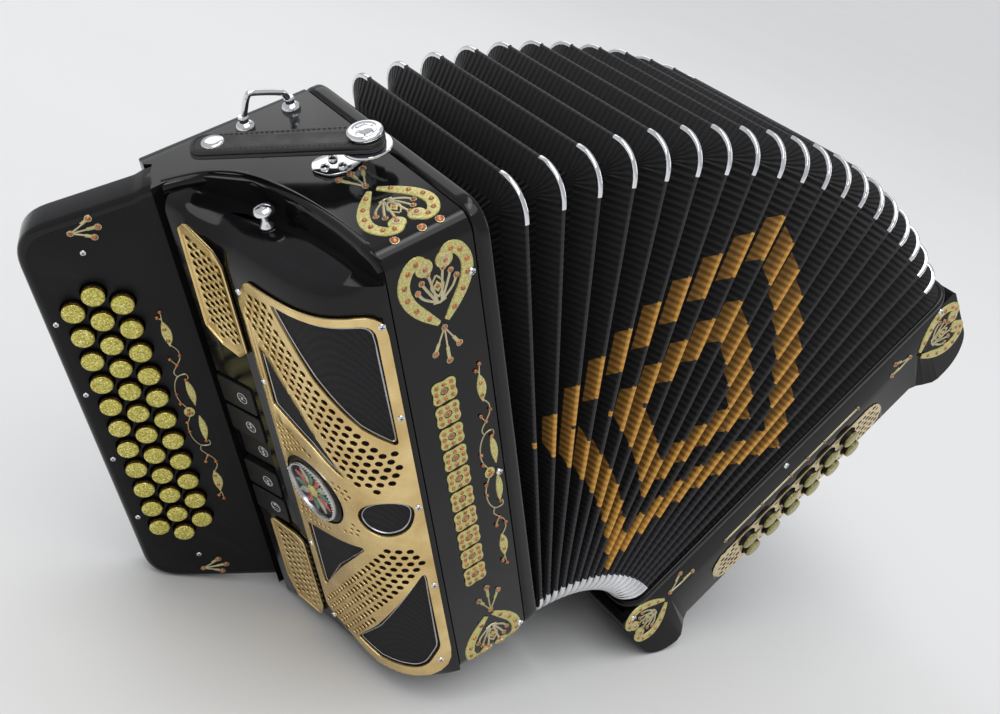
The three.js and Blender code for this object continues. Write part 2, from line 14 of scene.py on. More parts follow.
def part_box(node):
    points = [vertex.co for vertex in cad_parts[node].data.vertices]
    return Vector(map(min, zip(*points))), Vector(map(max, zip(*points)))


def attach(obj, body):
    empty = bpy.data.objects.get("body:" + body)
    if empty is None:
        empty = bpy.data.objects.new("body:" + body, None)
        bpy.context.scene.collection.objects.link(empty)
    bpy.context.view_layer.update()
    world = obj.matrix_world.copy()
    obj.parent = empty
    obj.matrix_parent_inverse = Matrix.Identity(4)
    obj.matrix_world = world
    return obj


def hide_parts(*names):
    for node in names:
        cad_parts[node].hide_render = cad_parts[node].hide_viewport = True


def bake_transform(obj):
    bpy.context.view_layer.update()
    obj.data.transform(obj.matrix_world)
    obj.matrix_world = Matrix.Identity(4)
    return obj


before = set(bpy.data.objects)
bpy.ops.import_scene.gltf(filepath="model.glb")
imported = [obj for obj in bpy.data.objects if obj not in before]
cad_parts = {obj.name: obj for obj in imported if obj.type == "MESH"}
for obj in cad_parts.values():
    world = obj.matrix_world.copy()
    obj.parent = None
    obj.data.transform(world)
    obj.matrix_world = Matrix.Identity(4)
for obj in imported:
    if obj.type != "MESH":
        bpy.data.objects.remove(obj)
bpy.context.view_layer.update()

# ---------- the instrument's frames ----------
LEAN = math.radians(29.25)
PLEATS = 20
PLEAT_ANGLE = math.radians(68.4) / PLEATS
FAN_X, FAN_Z = 9, -80
CASE_HEIGHT = 320
CASE_DEPTH = 168
EDGE_RADIUS = 10
FRAME_NEAR = 0.4  # the treble bellows frame's face on the casing
FRAME_LIP = 1.5  # how far that frame stands out round the casing
RIDGE_LOW, RIDGE_HIGH, FOLD_CORNER = 79, 400, 18
BOARD_ORIGIN = (-147, 149.5)
BOARD_ANGLE = -0.442
BASS_SLOPE_START = 27
BASS_SLOPE = math.radians(11.5)
BASS_OUTER = 80
BASS_ROWS, BASS_MIDDLE, BASS_PITCH = (23.5, 42.5), 232, 20.9
BASS_BUTTONS = [(u, BASS_MIDDLE + (2.5 - i) * BASS_PITCH) for u in BASS_ROWS for i in range(6)]
AIR_BUTTON = (44, 372)


def instrument_frame():
    """The bellows frame on the treble casing is a plain slab, so its box gives the instrument's place."""
    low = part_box("treble_bellows_frame")[0] * 1000
    x = low.x - (FRAME_NEAR * math.cos(LEAN) - (CASE_HEIGHT + FRAME_LIP) * math.sin(LEAN))
    z = low.z - (FRAME_NEAR * math.sin(LEAN) - FRAME_LIP * math.cos(LEAN))
    place = Matrix.Translation((x, low.y + FRAME_LIP, z)) @ Matrix.Rotation(-LEAN, 4, "Y")
    return Matrix.Scale(0.001, 4) @ place


TREBLE = instrument_frame()
FAN = TREBLE @ Matrix.Translation((FAN_X, 0, FAN_Z))
TURN_UP = Matrix.Rotation(math.pi / 2, 4, "X")  # (a, b, height) on a front face to (a, -height, b)


def pleat_frame(k):
    return FAN @ Matrix.Rotation(k * PLEAT_ANGLE, 4, "Y")


def spin(angle):
    return Matrix.Rotation(angle, 4, "Z")


BASS = pleat_frame(PLEATS)
BOARD = TREBLE @ Matrix.Translation((*BOARD_ORIGIN, 0)) @ spin(BOARD_ANGLE)
SLOPE = BASS @ Matrix.Translation((BASS_SLOPE_START, 0, 0)) @ spin(BASS_SLOPE)

BULGE = [(-50, 0.6), (-58, 3.2), (-68, 8.8), (-77, 18), (-83.5, 31.5),
         (-87.6, 48), (-90.6, 66), (-94.6, 89), (-99.3, 107), (-104.2, 122.5)]


def spline(points, steps, closed=False):
    """Catmull-Rom points through the given ones."""
    vectors = [Vector(p) for p in points]
    count = len(vectors)
    spans = count if closed else count - 1

    def node(i):
        return vectors[i % count] if closed else vectors[min(max(i, 0), count - 1)]

    result = []
    for i in range(spans):
        p0, p1, p2, p3 = node(i - 1), node(i), node(i + 1), node(i + 2)
        a, b = (p2 - p0) * 0.5, (p3 - p1) * 0.5
        cubic = p1 * 2 - p2 * 2 + a + b
        square = p2 * 3 - p1 * 3 - a * 2 - b
        for k in range(steps):
            t = k / steps
            result.append(cubic * t**3 + square * t**2 + a * t + p1)
    if not closed:
        result.append(vectors[-1].copy())
    return result


BULGE_LINE = spline(BULGE, 60)
BULGE_STATIONS = [0.0]
for first, second in zip(BULGE_LINE, BULGE_LINE[1:]):
    BULGE_STATIONS.append(BULGE_STATIONS[-1] + (second - first).length)


def bulge_at(distance, offset):
    """The point that far along the cover's bulge and that far out from it, with the direction of travel."""
    i = min(max(bisect.bisect_right(BULGE_STATIONS, distance) - 1, 0), len(BULGE_LINE) - 2)
    tangent = (BULGE_LINE[i + 1] - BULGE_LINE[i]).normalized()
    point = BULGE_LINE[i] + tangent * (distance - BULGE_STATIONS[i])
    return Vector((point.x - tangent.y * offset, point.y + tangent.x * offset)), tangent


# ---------- surfaces that ornaments lie on: (a, b, height) to metres ----------
def flat(matrix):
    return lambda a, b, height: matrix @ Vector((a, b, height))


def on_bulge(a, b, height):
    point, _ = bulge_at(a, height)
    return TREBLE @ Vector((point.x, point.y, b))


def on_strip(a, b, height):
    """The front strip, which rolls over its rounded edges on to the top and the bottom."""
    middle = CASE_HEIGHT / 2
    side = 1 if b > middle else -1
    beyond = abs(b - middle) - (middle - EDGE_RADIUS)
    angle = min(max(beyond / EDGE_RADIUS, 0), math.pi / 2)
    radius = EDGE_RADIUS + height
    y = EDGE_RADIUS - radius * math.cos(angle)
    z = middle - EDGE_RADIUS + radius * math.sin(angle)
    if beyond <= 0:
        z = abs(b - middle)
    y += max(beyond - EDGE_RADIUS * math.pi / 2, 0)
    return TREBLE @ Vector((a, y, middle + side * z))


ON_BOARD = flat(BOARD @ TURN_UP)
ON_TOP = flat(TREBLE @ Matrix.Translation((0, 0, CASE_HEIGHT)))
ON_BASS = flat(BASS @ TURN_UP)
ON_SLOPE = flat(SLOPE @ TURN_UP)


def tilted(surface, a, b, angle=0, scale=1, stretch=1):
    """A surface moved to (a, b), turned and scaled, for ornaments drawn about their own origin."""
    c, s = math.cos(angle), math.sin(angle)

    def mapped(x, y, height):
        x, y = x * scale, y * scale * stretch
        return surface(a + x * c - y * s, b + x * s + y * c, height)

    return mapped


# ---------- node materials ----------
def new_material(name, color, roughness, metallic=0.0, coat=0.0, specular=0.5):
    material = bpy.data.materials.new(name)
    material.use_nodes = True
    inputs = material.node_tree.nodes["Principled BSDF"].inputs
    inputs["Base Color"].default_value = (*color, 1)
    values = {"Roughness": roughness, "Metallic": metallic, "Coat Weight": coat,
              "Coat Roughness": 0.04, "Specular IOR Level": specular}
    for socket, value in values.items():
        inputs[socket].default_value = value
    return material


def node(material, kind, **inputs):
    made = material.node_tree.nodes.new(kind)
    for key, value in inputs.items():
        made.inputs[key.replace("_", " ")].default_value = value
    return made


def wire(material, output, target):
    material.node_tree.links.new(output, target)


def feed(material, name, output):
    """Wires an output to the shader's input of that name."""
    wire(material, output, material.node_tree.nodes["Principled BSDF"].inputs[name])


def object_point(material):
    return node(material, "ShaderNodeTexCoord").outputs["Object"]


def math_node(material, operation, first, second=None, third=None):
    made = node(material, "ShaderNodeMath")
    made.operation = operation
    for slot, value in enumerate((first, second, third)):
        if value is None:
            continue
        if isinstance(value, (int, float)):
            made.inputs[slot].default_value = value
        else:
            wire(material, value, made.inputs[slot])
    return made.outputs[0]


def noise(material, scale, detail=3.0, source=None):
    made = node(material, "ShaderNodeTexNoise", Scale=scale, Detail=detail)
    wire(material, source or object_point(material), made.inputs["Vector"])
    return made.outputs["Fac"]


def ramp(material, source, low, high, start=0.3, end=0.7):
    """A value or colour that goes from low to high as the source goes from start to end."""
    made = node(material, "ShaderNodeValToRGB")
    made.color_ramp.elements[0].position = start
    made.color_ramp.elements[1].position = end
    for element, value in zip(made.color_ramp.elements, (low, high)):
        element.color = (*value, 1) if isinstance(value, tuple) else (value, value, value, 1)
    wire(material, source, made.inputs["Fac"])
    return made.outputs["Color"]


def shaded(material, color, shadow):
    """The colour, darkened by a grey value."""
    made = node(material, "ShaderNodeMix")
    made.data_type = "RGBA"
    made.blend_type = "MULTIPLY"
    made.inputs["Factor"].default_value = 1.0
    wire(material, color, made.inputs[6])
    wire(material, shadow, made.inputs[7])
    return made.outputs[2]


def bump(material, source, distance, strength):
    made = node(material, "ShaderNodeBump", Strength=strength, Distance=distance)
    wire(material, source, made.inputs["Height"])
    feed(material, "Normal", made.outputs["Normal"])


def vary(material, color_low, color_high, rough_low, rough_high, scale):
    """Soft patches in colour and roughness, as handled surfaces have."""
    feed(material, "Base Color", ramp(material, noise(material, scale), color_low, color_high))
    feed(material, "Roughness", ramp(material, noise(material, scale * 2.3, 5.0), rough_low, rough_high))


def gloss_black(name="black_celluloid", specular=0.3):
    material = new_material(name, (0.005, 0.005, 0.006), 0.09, specular=specular)
    vary(material, (0.0035, 0.0035, 0.004), (0.0065, 0.0065, 0.0072), 0.07, 0.15, 22)
    bump(material, noise(material, 160, 2.0), 0.00002, 0.35)
    return material


def satin():
    material = new_material("satin_black", (0.005, 0.005, 0.006), 0.4, specular=0.2)
    vary(material, (0.0035, 0.0035, 0.004), (0.006, 0.006, 0.0068), 0.34, 0.48, 30)
    bump(material, noise(material, 2600, 2.0), 0.00004, 0.5)
    return material


def plated(name, low, high, rough_low, rough_high, grain=0.00002):
    material = new_material(name, high, rough_low, metallic=1.0)
    vary(material, low, high, rough_low, rough_high, 45)
    bump(material, noise(material, 1500, 2.0), grain, 0.5)
    return material


def glitter(name, shades, metallic):
    """Flakes of several golds under clear plastic."""
    material = new_material(name, shades[1], 0.3, metallic=metallic, coat=0.5)
    cells = node(material, "ShaderNodeTexVoronoi", Scale=1500.0)
    wire(material, object_point(material), cells.inputs["Vector"])
    flakes = node(material, "ShaderNodeSeparateColor")
    wire(material, cells.outputs["Color"], flakes.inputs["Color"])
    made = node(material, "ShaderNodeValToRGB")
    elements = made.color_ramp.elements
    while len(elements) < len(shades):
        elements.new(0.5)
    for element, position, color in zip(elements, (0.0, 0.4, 0.78, 0.95), shades):
        element.position = position
        element.color = (*color, 1)
    wire(material, flakes.outputs["Red"], made.inputs["Fac"])
    feed(material, "Base Color", made.outputs["Color"])
    feed(material, "Roughness", ramp(material, flakes.outputs["Green"], 0.18, 0.6, 0.1, 0.9))
    bump(material, flakes.outputs["Blue"], 0.00008, 0.5)
    return material


LATTICE_PLEAT, LATTICE_RADIUS = 9.95, 231.0  # the middle of the amber lattice
LATTICE_BANDS = ((113.0, 14.4), (57.0, 14.0))  # how far out each band lies, and half its width
PLEAT_REACH = 14.0  # one pleat sideways counts as this much of the radius
LATTICE_SLANT = 0.055  # pleats that the bands shift for each millimetre down into a fold
RIB_PITCH = 4.3


def uv_parts(material, layer):
    """The two numbers that a UV layer holds."""
    layout = node(material, "ShaderNodeUVMap")
    layout.uv_map = layer
    parts = node(material, "ShaderNodeSeparateXYZ")
    wire(material, layout.outputs["UV"], parts.inputs["Vector"])
    return parts.outputs["X"], parts.outputs["Y"]


def away_from(material, value, middle):
    """How far the value is from the middle, on either side of it."""
    return math_node(material, "ABSOLUTE", math_node(material, "SUBTRACT", value, middle))


def ribbed_cloth(name, dark, light, amber_dark, amber_light, roughness, rib_height, amber_depth):
    """Bellows cloth with ribs and an amber lattice, with painted shade in its rib grooves and deep in its
    folds.

    The UV layer lattice holds (pleats from the treble side, radius about the fan's centre).
    The UV layer ribs holds (depth into the fold, travel round it); behind, the depth runs down from -1.
    """
    material = new_material(name, dark, roughness, specular=0.35)
    pleats, radius = uv_parts(material, "lattice")
    signed_depth, travel = uv_parts(material, "ribs")
    depth = math_node(material, "ABSOLUTE", signed_depth)
    ridge = math_node(material, "ROUND", pleats)
    side = math_node(material, "SIGN", math_node(material, "SUBTRACT", pleats, ridge))
    slant = math_node(material, "MULTIPLY", math_node(material, "MULTIPLY", depth, LATTICE_SLANT), side)
    sideways = away_from(material, math_node(material, "ADD", ridge, slant), LATTICE_PLEAT)
    upright = away_from(material, radius, LATTICE_RADIUS)
    reach = math_node(material, "MULTIPLY_ADD", sideways, PLEAT_REACH, upright)
    bands = [math_node(material, "LESS_THAN", away_from(material, reach, middle), half)
             for middle, half in LATTICE_BANDS]
    in_front = math_node(material, "GREATER_THAN", signed_depth, -0.5)
    shallow = math_node(material, "MULTIPLY", in_front, math_node(material, "LESS_THAN", depth, amber_depth))
    lattice = math_node(material, "MULTIPLY", math_node(material, "MAXIMUM", *bands), shallow)
    # Painted shade and light on the ribs: the grooves take the dark colour, the crests the light one; the
    # same wave also bumps the surface.
    wave = math_node(material, "SINE", math_node(material, "MULTIPLY", travel, 2 * math.pi / RIB_PITCH))
    height = math_node(material, "MULTIPLY_ADD", wave, 0.5, 0.5)
    # Painted shade: the cloth, and below it the amber, are darkened the deeper they lie in a fold.
    shadow = ramp(material, math_node(material, "MULTIPLY", depth, 0.05), 1.0, 0.25, 0.1, 0.9)
    cloth = shaded(material, ramp(material, height, dark, light, 0.1, 0.95), shadow)
    shadow = ramp(material, math_node(material, "MULTIPLY", depth, 0.1), 1.0, 0.5, 0.1, 0.5)
    amber = shaded(material, ramp(material, height, amber_dark, amber_light, 0.0, 0.9), shadow)
    mix = node(material, "ShaderNodeMix")
    mix.data_type = "RGBA"
    wire(material, lattice, mix.inputs["Factor"])
    wire(material, cloth, mix.inputs[6])
    wire(material, amber, mix.inputs[7])
    feed(material, "Base Color", mix.outputs[2])
    weave = noise(material, 2400, 2.0)
    feed(material, "Roughness", ramp(material, weave, roughness - 0.1, min(roughness + 0.12, 1)))
    bump(material, math_node(material, "MULTIPLY_ADD", weave, 0.25, height), rib_height, 0.9)
    return material


def leather():
    material = new_material("leather", (0.012, 0.012, 0.012), 0.42)
    vary(material, (0.008, 0.008, 0.008), (0.018, 0.018, 0.019), 0.34, 0.52, 60)
    cells = node(material, "ShaderNodeTexVoronoi", Scale=900.0)
    cells.feature = "DISTANCE_TO_EDGE"
    wire(material, object_point(material), cells.inputs["Vector"])
    grain = math_node(material, "MULTIPLY_ADD", noise(material, 400), 0.5, cells.outputs["Distance"])
    bump(material, grain, 0.0003, 0.55)
    return material


def timber():
    material = new_material("spruce", (0.48, 0.3, 0.13), 0.6)
    stretched = node(material, "ShaderNodeMapping")
    stretched.inputs["Scale"].default_value = (60, 60, 4)
    wire(material, object_point(material), stretched.inputs["Vector"])
    grain = noise(material, 4, 6.0, stretched.outputs["Vector"])
    feed(material, "Base Color", ramp(material, grain, (0.33, 0.19, 0.08), (0.55, 0.36, 0.17)))
    bump(material, grain, 0.0002, 0.4)
    return material


def screen_cloth():
    """Black woven screen behind the grille windows."""
    material = new_material("screen_cloth", (0.008, 0.008, 0.009), 0.75, specular=0.3)
    weave = node(material, "ShaderNodeTexChecker", Scale=900.0)
    wire(material, object_point(material), weave.inputs["Vector"])
    threads = ramp(material, weave.outputs["Fac"], (0.006, 0.006, 0.007), (0.016, 0.016, 0.018), 0, 1)
    feed(material, "Base Color", threads)
    bump(material, weave.outputs["Fac"], 0.0002, 0.6)
    return material


def speckled(name, low, high, roughness, metallic, scale=900, coat=0.0, specular=0.5):
    material = new_material(name, high, roughness, metallic=metallic, coat=coat, specular=specular)
    grains = noise(material, scale, 2.0)
    feed(material, "Base Color", ramp(material, grains, low, high, 0.35, 0.65))
    bump(material, grains, 0.00012, 0.6)
    return material


def studio_floor():
    material = new_material("studio_floor", (0.77, 0.77, 0.77), 0.75, specular=0.15)
    feed(material, "Base Color", ramp(material, noise(material, 3.0), (0.762,) * 3, (0.778,) * 3))
    return material


GLOSS = gloss_black()
DEEP_GLOSS = gloss_black("deep_black", 0.08)
SATIN = satin()
GOLD = plated("gold_plate", (0.66, 0.46, 0.19), (0.90, 0.70, 0.34), 0.2, 0.34)
GLITTER = glitter("glitter_gold",
                  [(0.30, 0.25, 0.02), (0.52, 0.46, 0.06), (0.68, 0.61, 0.11), (0.95, 0.88, 0.38)], 0.35)
OLIVE = glitter("olive_gold",
                [(0.16, 0.14, 0.015), (0.24, 0.21, 0.03), (0.32, 0.28, 0.05), (0.5, 0.45, 0.14)], 0.4)
AMBER_EDGE = glitter("amber_edge",
                     [(0.02, 0.008, 0.001), (0.07, 0.03, 0.003), (0.13, 0.06, 0.008), (0.3, 0.16, 0.03)], 0.3)
CHROME = plated("chrome", (0.74, 0.75, 0.77), (0.86, 0.87, 0.89), 0.05, 0.13, 0.00001)
DULL_CHROME = plated("worn_chrome", (0.42, 0.43, 0.46), (0.56, 0.57, 0.6), 0.16, 0.3)
# Each cloth's dark and light colours, plain and amber, are the painted shade in its rib grooves and the
# painted light on its crests.
CLOTH = ribbed_cloth("bellows_cloth", (0.003, 0.003, 0.0035), (0.0115, 0.0115, 0.0125),
                     (0.26, 0.12, 0.018), (0.52, 0.26, 0.05), 0.55, 0.0009, 8.8)
TAPE = ribbed_cloth("bellows_tape", (0.015, 0.015, 0.017), (0.024, 0.024, 0.027),
                    (0.46, 0.22, 0.035), (0.66, 0.35, 0.07), 0.5, 0.00025, 20)
LEATHER = leather()
THREAD = speckled("thread", (0.02, 0.02, 0.021), (0.07, 0.07, 0.072), 0.7, 0.0, 3000)
WOOD = timber()
REEDS = plated("reed_plate", (0.4, 0.41, 0.43), (0.62, 0.63, 0.65), 0.3, 0.5)
TAB = speckled("register_black", (0.006, 0.006, 0.007), (0.012, 0.012, 0.013), 0.3, 0.0, 500, 0.0, 0.15)
SCREEN = screen_cloth()
ORNAMENT = speckled("ornament_gold", (0.44, 0.39, 0.12), (0.70, 0.64, 0.27), 0.4, 0.35)
STEM = plated("ornament_wire", (0.45, 0.40, 0.24), (0.68, 0.62, 0.42), 0.3, 0.45)
STONE = speckled("amber_stone", (0.20, 0.045, 0.005), (0.62, 0.20, 0.025), 0.08, 0.15, 700, 1.0)
MARKING = speckled("pale_marking", (0.5, 0.5, 0.5), (0.7, 0.7, 0.7), 0.5, 0.0)
LACE = speckled("bass_lace", (0.58, 0.45, 0.24), (0.82, 0.70, 0.46), 0.4, 0.6)
GREEN_ENAMEL = speckled("green_enamel", (0.01, 0.12, 0.05), (0.02, 0.2, 0.08), 0.15, 0.0, 300, 0.8)
WHITE_ENAMEL = speckled("cream_enamel", (0.32, 0.30, 0.19), (0.46, 0.44, 0.3), 0.2, 0.0, 300, 0.8)
RED_ENAMEL = speckled("red_enamel", (0.35, 0.02, 0.015), (0.5, 0.05, 0.03), 0.15, 0.0, 300, 0.8)


# ---------- mesh building ----------
AXIS = 0.02  # a turned piece closes on a ring this small
DOME = ((-1, 0), (-0.93, 0.6), (-0.5, 0.93), (0, 1), (0.5, 0.93), (0.93, 0.6), (1, 0))
SHARP_TURN = math.radians(40)


def linked(name, data):
    """A new object in the scene."""
    made = bpy.data.objects.new(name, data)
    bpy.context.scene.collection.objects.link(made)
    return made


def circle(a, b, radius, count=12, turn=0.0, stretch=1.0):
    return [(a + radius * math.cos(turn + 2 * math.pi * k / count),
             b + radius * stretch * math.sin(turn + 2 * math.pi * k / count)) for k in range(count)]


class Build:
    """Collects closed shells, each with its own finish, into one piece."""

    def __init__(self):
        self.points = []
        self.faces = []
        self.looks = []
        self.finishes = []

    def add(self, points, faces, look):
        base = len(self.points)
        self.points.extend(points)
        self.faces.extend([tuple(base + i for i in face) for face in faces])
        if look not in self.finishes:
            self.finishes.append(look)
        self.looks.extend([self.finishes.index(look)] * len(faces))

    def loops(self, rings, look, surface, closed=False):
        """A skin over rings of equal point counts, capped unless it closes on itself."""
        count = len(rings[0])
        points = [surface(*p) for ring in rings for p in ring]
        faces = []
        spans = len(rings) if closed else len(rings) - 1
        for level in range(spans):
            low, high = level * count, (level + 1) % len(rings) * count
            for i in range(count):
                j = (i + 1) % count
                faces.append((low + i, low + j, high + j, high + i))
        if not closed:
            faces.append(tuple(reversed(range(count))))
            faces.append(tuple(range((len(rings) - 1) * count, len(rings) * count)))
        self.add(points, faces, look)

    def ribbon(self, line, widths, height, look, surface, base=0.0):
        """A low domed strip along a line of (a, b) points."""
        rings = []
        for i, point in enumerate(line):
            ahead = Vector(line[min(i + 1, len(line) - 1)]) - Vector(line[max(i - 1, 0)])
            across = Vector((-ahead.y, ahead.x)).normalized()
            width = widths[i] if isinstance(widths, list) else widths
            rings.append([(point[0] + across.x * width * share, point[1] + across.y * width * share,
                           base + height * rise) for share, rise in DOME])
        self.loops(rings, look, surface)

    def tube(self, line, radius, look, surface, sides=8, closed=False):
        """A round bar along (x, y, z) points of the surface's own space."""
        vectors = [Vector(p) for p in line]
        count = len(vectors)
        normal = None
        rings = []
        for i, point in enumerate(vectors):
            ahead = vectors[(i + 1) % count] if closed else vectors[min(i + 1, count - 1)]
            behind = vectors[i - 1] if closed else vectors[max(i - 1, 0)]
            along = (ahead - behind).normalized()
            if normal is None:
                normal = along.orthogonal().normalized()
            normal = (normal - along * normal.dot(along)).normalized()
            across = along.cross(normal)
            size = radius[i] if isinstance(radius, list) else radius
            rings.append([tuple(point + normal * math.cos(t) * size + across * math.sin(t) * size)
                          for t in (2 * math.pi * k / sides for k in range(sides))])
        self.loops(rings, look, surface, closed=closed)

    def lathe(self, profile, look, surface, centre=(0, 0), segments=24, turn=0.0):
        """A turned piece about the surface's height axis; profile points are (radius, height)."""
        rings = [[(a, b, height) for a, b in circle(*centre, radius, segments, turn)]
                 for radius, height in profile]
        self.loops(rings, look, surface)

    def plate(self, outline, holes, low, high, look, surface, edge=0.3, slices=()):
        """A flat sheet with holes and softened edges; slices are where it is cut so that it can bend."""
        curve = bpy.data.curves.new("outline", "CURVE")
        curve.dimensions = "2D"
        curve.fill_mode = "BOTH"
        curve.extrude = (high - low) / 2 - edge
        curve.bevel_depth = edge
        curve.bevel_resolution = 1
        curve.offset = -edge
        for loop in [outline, *holes]:
            path = curve.splines.new("POLY")
            path.points.add(len(loop) - 1)
            for point, (a, b) in zip(path.points, loop):
                point.co = (a, b, 0, 1)
            path.use_cyclic_u = True
        holder = linked("outline", curve)
        shape = bmesh.new()
        shape.from_mesh(holder.evaluated_get(bpy.context.evaluated_depsgraph_get()).to_mesh())
        bpy.data.objects.remove(holder)
        bmesh.ops.remove_doubles(shape, verts=shape.verts, dist=1e-3)
        for position in slices:
            everything = shape.verts[:] + shape.edges[:] + shape.faces[:]
            bmesh.ops.bisect_plane(shape, geom=everything, dist=1e-4, plane_co=(position, 0, 0),
                                   plane_no=(1, 0, 0))
        middle = (low + high) / 2
        shape.verts.index_update()
        self.add([surface(v.co.x, v.co.y, v.co.z + middle) for v in shape.verts],
                 [tuple(v.index for v in face.verts) for face in shape.faces], look)
        shape.free()

    def make(self, name, body, replaces=(), sharp=35):
        mesh = bpy.data.meshes.new(name)
        mesh.from_pydata(self.points, [], self.faces)
        mesh.update()
        for look in self.finishes:
            mesh.materials.append(look)
        mesh.polygons.foreach_set("material_index", self.looks)
        outward(mesh)
        shade(mesh, sharp)
        settle(linked(name, mesh), body, replaces)


def outward(mesh):
    shape = bmesh.new()
    shape.from_mesh(mesh)
    bmesh.ops.recalc_face_normals(shape, faces=shape.faces)
    shape.to_mesh(mesh)
    shape.free()


def shade(mesh, sharp):
    mesh.polygons.foreach_set("use_smooth", [True] * len(mesh.polygons))
    mesh.set_sharp_from_angle(angle=math.radians(sharp))


def soften(piece, width, chosen):
    """Rounds all the sharp edges, or only those that carry a weight."""
    rounding = piece.modifiers.new("edges", "BEVEL")
    rounding.width = width * 0.001
    rounding.segments = 4 if chosen else 2
    rounding.limit_method = "WEIGHT" if chosen else "ANGLE"
    rounding.angle_limit = SHARP_TURN
    rounding.harden_normals = True


def settle(piece, body, replaces):
    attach(piece, body)
    if replaces:
        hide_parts(*replaces)


def refined(node_name, body, look, bevel=0.0, sharp=30, chosen=None):
    """The CAD node's own shape, with merged faces and smooth curves; chosen picks the edges to soften."""
    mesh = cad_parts[node_name].data.copy()
    mesh.name = node_name + "_finish"
    shape = bmesh.new()
    shape.from_mesh(mesh)
    bmesh.ops.remove_doubles(shape, verts=shape.verts, dist=2e-6)
    bmesh.ops.dissolve_limit(shape, angle_limit=math.radians(0.6), verts=shape.verts, edges=shape.edges)
    for layer in list(shape.loops.layers.uv):
        shape.loops.layers.uv.remove(layer)
    if chosen:
        weights = shape.edges.layers.float.new("bevel_weight_edge")
        for edge in shape.edges:
            turned = len(edge.link_faces) == 2 and edge.calc_face_angle() > SHARP_TURN
            middle = (edge.verts[0].co + edge.verts[1].co) / 2
            edge[weights] = 1.0 if turned and chosen(middle) else 0.0
    shape.to_mesh(mesh)
    shape.free()
    if "custom_normal" in mesh.attributes:
        mesh.attributes.remove(mesh.attributes["custom_normal"])
    mesh.materials.clear()
    mesh.materials.append(look)
    mesh.polygons.foreach_set("material_index", [0] * len(mesh.polygons))
    shade(mesh, sharp)
    piece = linked(node_name + "_finish", mesh)
    if bevel:
        soften(piece, bevel, bool(chosen))
    settle(piece, body, (node_name,))


def repaint(node_name, look):
    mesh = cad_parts[node_name].data
    mesh.materials.clear()
    mesh.materials.append(look)


def rounded(corners, radii, steps=5):
    """The outline with its corners rounded."""
    points = []
    count = len(corners)
    for i, corner in enumerate(corners):
        here = Vector(corner)
        before = (Vector(corners[i - 1]) - here).normalized()
        after = (Vector(corners[(i + 1) % count]) - here).normalized()
        radius = radii[i] if isinstance(radii, (list, tuple)) else radii
        half = math.acos(max(min(before.dot(after), 1), -1)) / 2
        reach = radius / math.tan(half)
        start, end = here + before * reach, here + after * reach
        for k in range(steps + 1):
            t = k / steps
            points.append(tuple(start * (1 - t) ** 2 + here * 2 * t * (1 - t) + end * t**2))
    return points


def inside(point, polygon):
    a, b = point
    odd = False
    for (a0, b0), (a1, b1) in zip(polygon, polygon[1:] + polygon[:1]):
        if (b0 > b) != (b1 > b) and a < (a1 - a0) * (b - b0) / (b1 - b0) + a0:
            odd = not odd
    return odd


def centre_of(outline):
    return sum((Vector(p) for p in outline), Vector((0, 0))) / len(outline)


# ---------- small ornaments ----------
def stone(build, surface, a, b, size, base):
    """A faceted amber stone, a little wider than its size."""
    radius = size * 1.2
    profile = [(radius, base - 0.1), (radius, base + 0.35), (radius * 0.62, base + 0.95), (AXIS, base + 1.15)]
    build.lathe(profile, STONE, surface, (a, b), 8, 0.3)


def collared_stone(build, surface, a, b, size):
    build.lathe([(size + 0.7, 0), (size + 0.6, 0.5), (size - 0.1, 0.6)], STEM, surface, (a, b), 14)
    stone(build, surface, a, b, size, 0.4)


def screw(build, surface, a, b, radius, height, base=0.0):
    """A domed screw head with a cross recess."""
    build.lathe([(radius, base - 0.3), (radius, base + height * 0.35), (radius * 0.8, base + height * 0.8),
                 (radius * 0.35, base + height), (AXIS, base + height)], CHROME, surface, (a, b), 20)
    for turn in (0.4, 0.4 + math.pi / 2):
        across = Vector((math.cos(turn), math.sin(turn))) * radius * 0.55
        build.ribbon([(a - across.x, b - across.y), (a + across.x, b + across.y)], radius * 0.12, 0.12,
                     GLOSS, surface, base + height - 0.02)


def sprig(build, surface, tips, base):
    """Thin twisted stems from one point to a stone each."""
    for tip in tips:
        bowed = ((base[0] + tip[0]) / 2 * 1.02 + 0.4, (base[1] + tip[1]) / 2)
        build.ribbon(spline([base, bowed, tip], 5), 0.55, 0.7, STEM, surface)
        root = (base[0] * 0.4 + tip[0] * 0.6, base[1] * 0.4 + tip[1] * 0.6)
        build.ribbon(spline([root, tip], 3), 1.0, 0.5, ORNAMENT, surface)
        collared_stone(build, surface, *tip, 1.35)
    collared_stone(build, surface, *base, 1.2)


HEART_LINE = [(5.2, 36.5), (8.6, 40.2), (13.6, 38.6), (17.3, 32.0), (17.6, 24.6), (14.6, 16.4), (9.0, 8.4),
              (2.4, 0.6)]
HEART_WIDTHS = [3.2, 3.7, 3.5, 3.4, 3.5, 3.4, 3.0, 1.6]


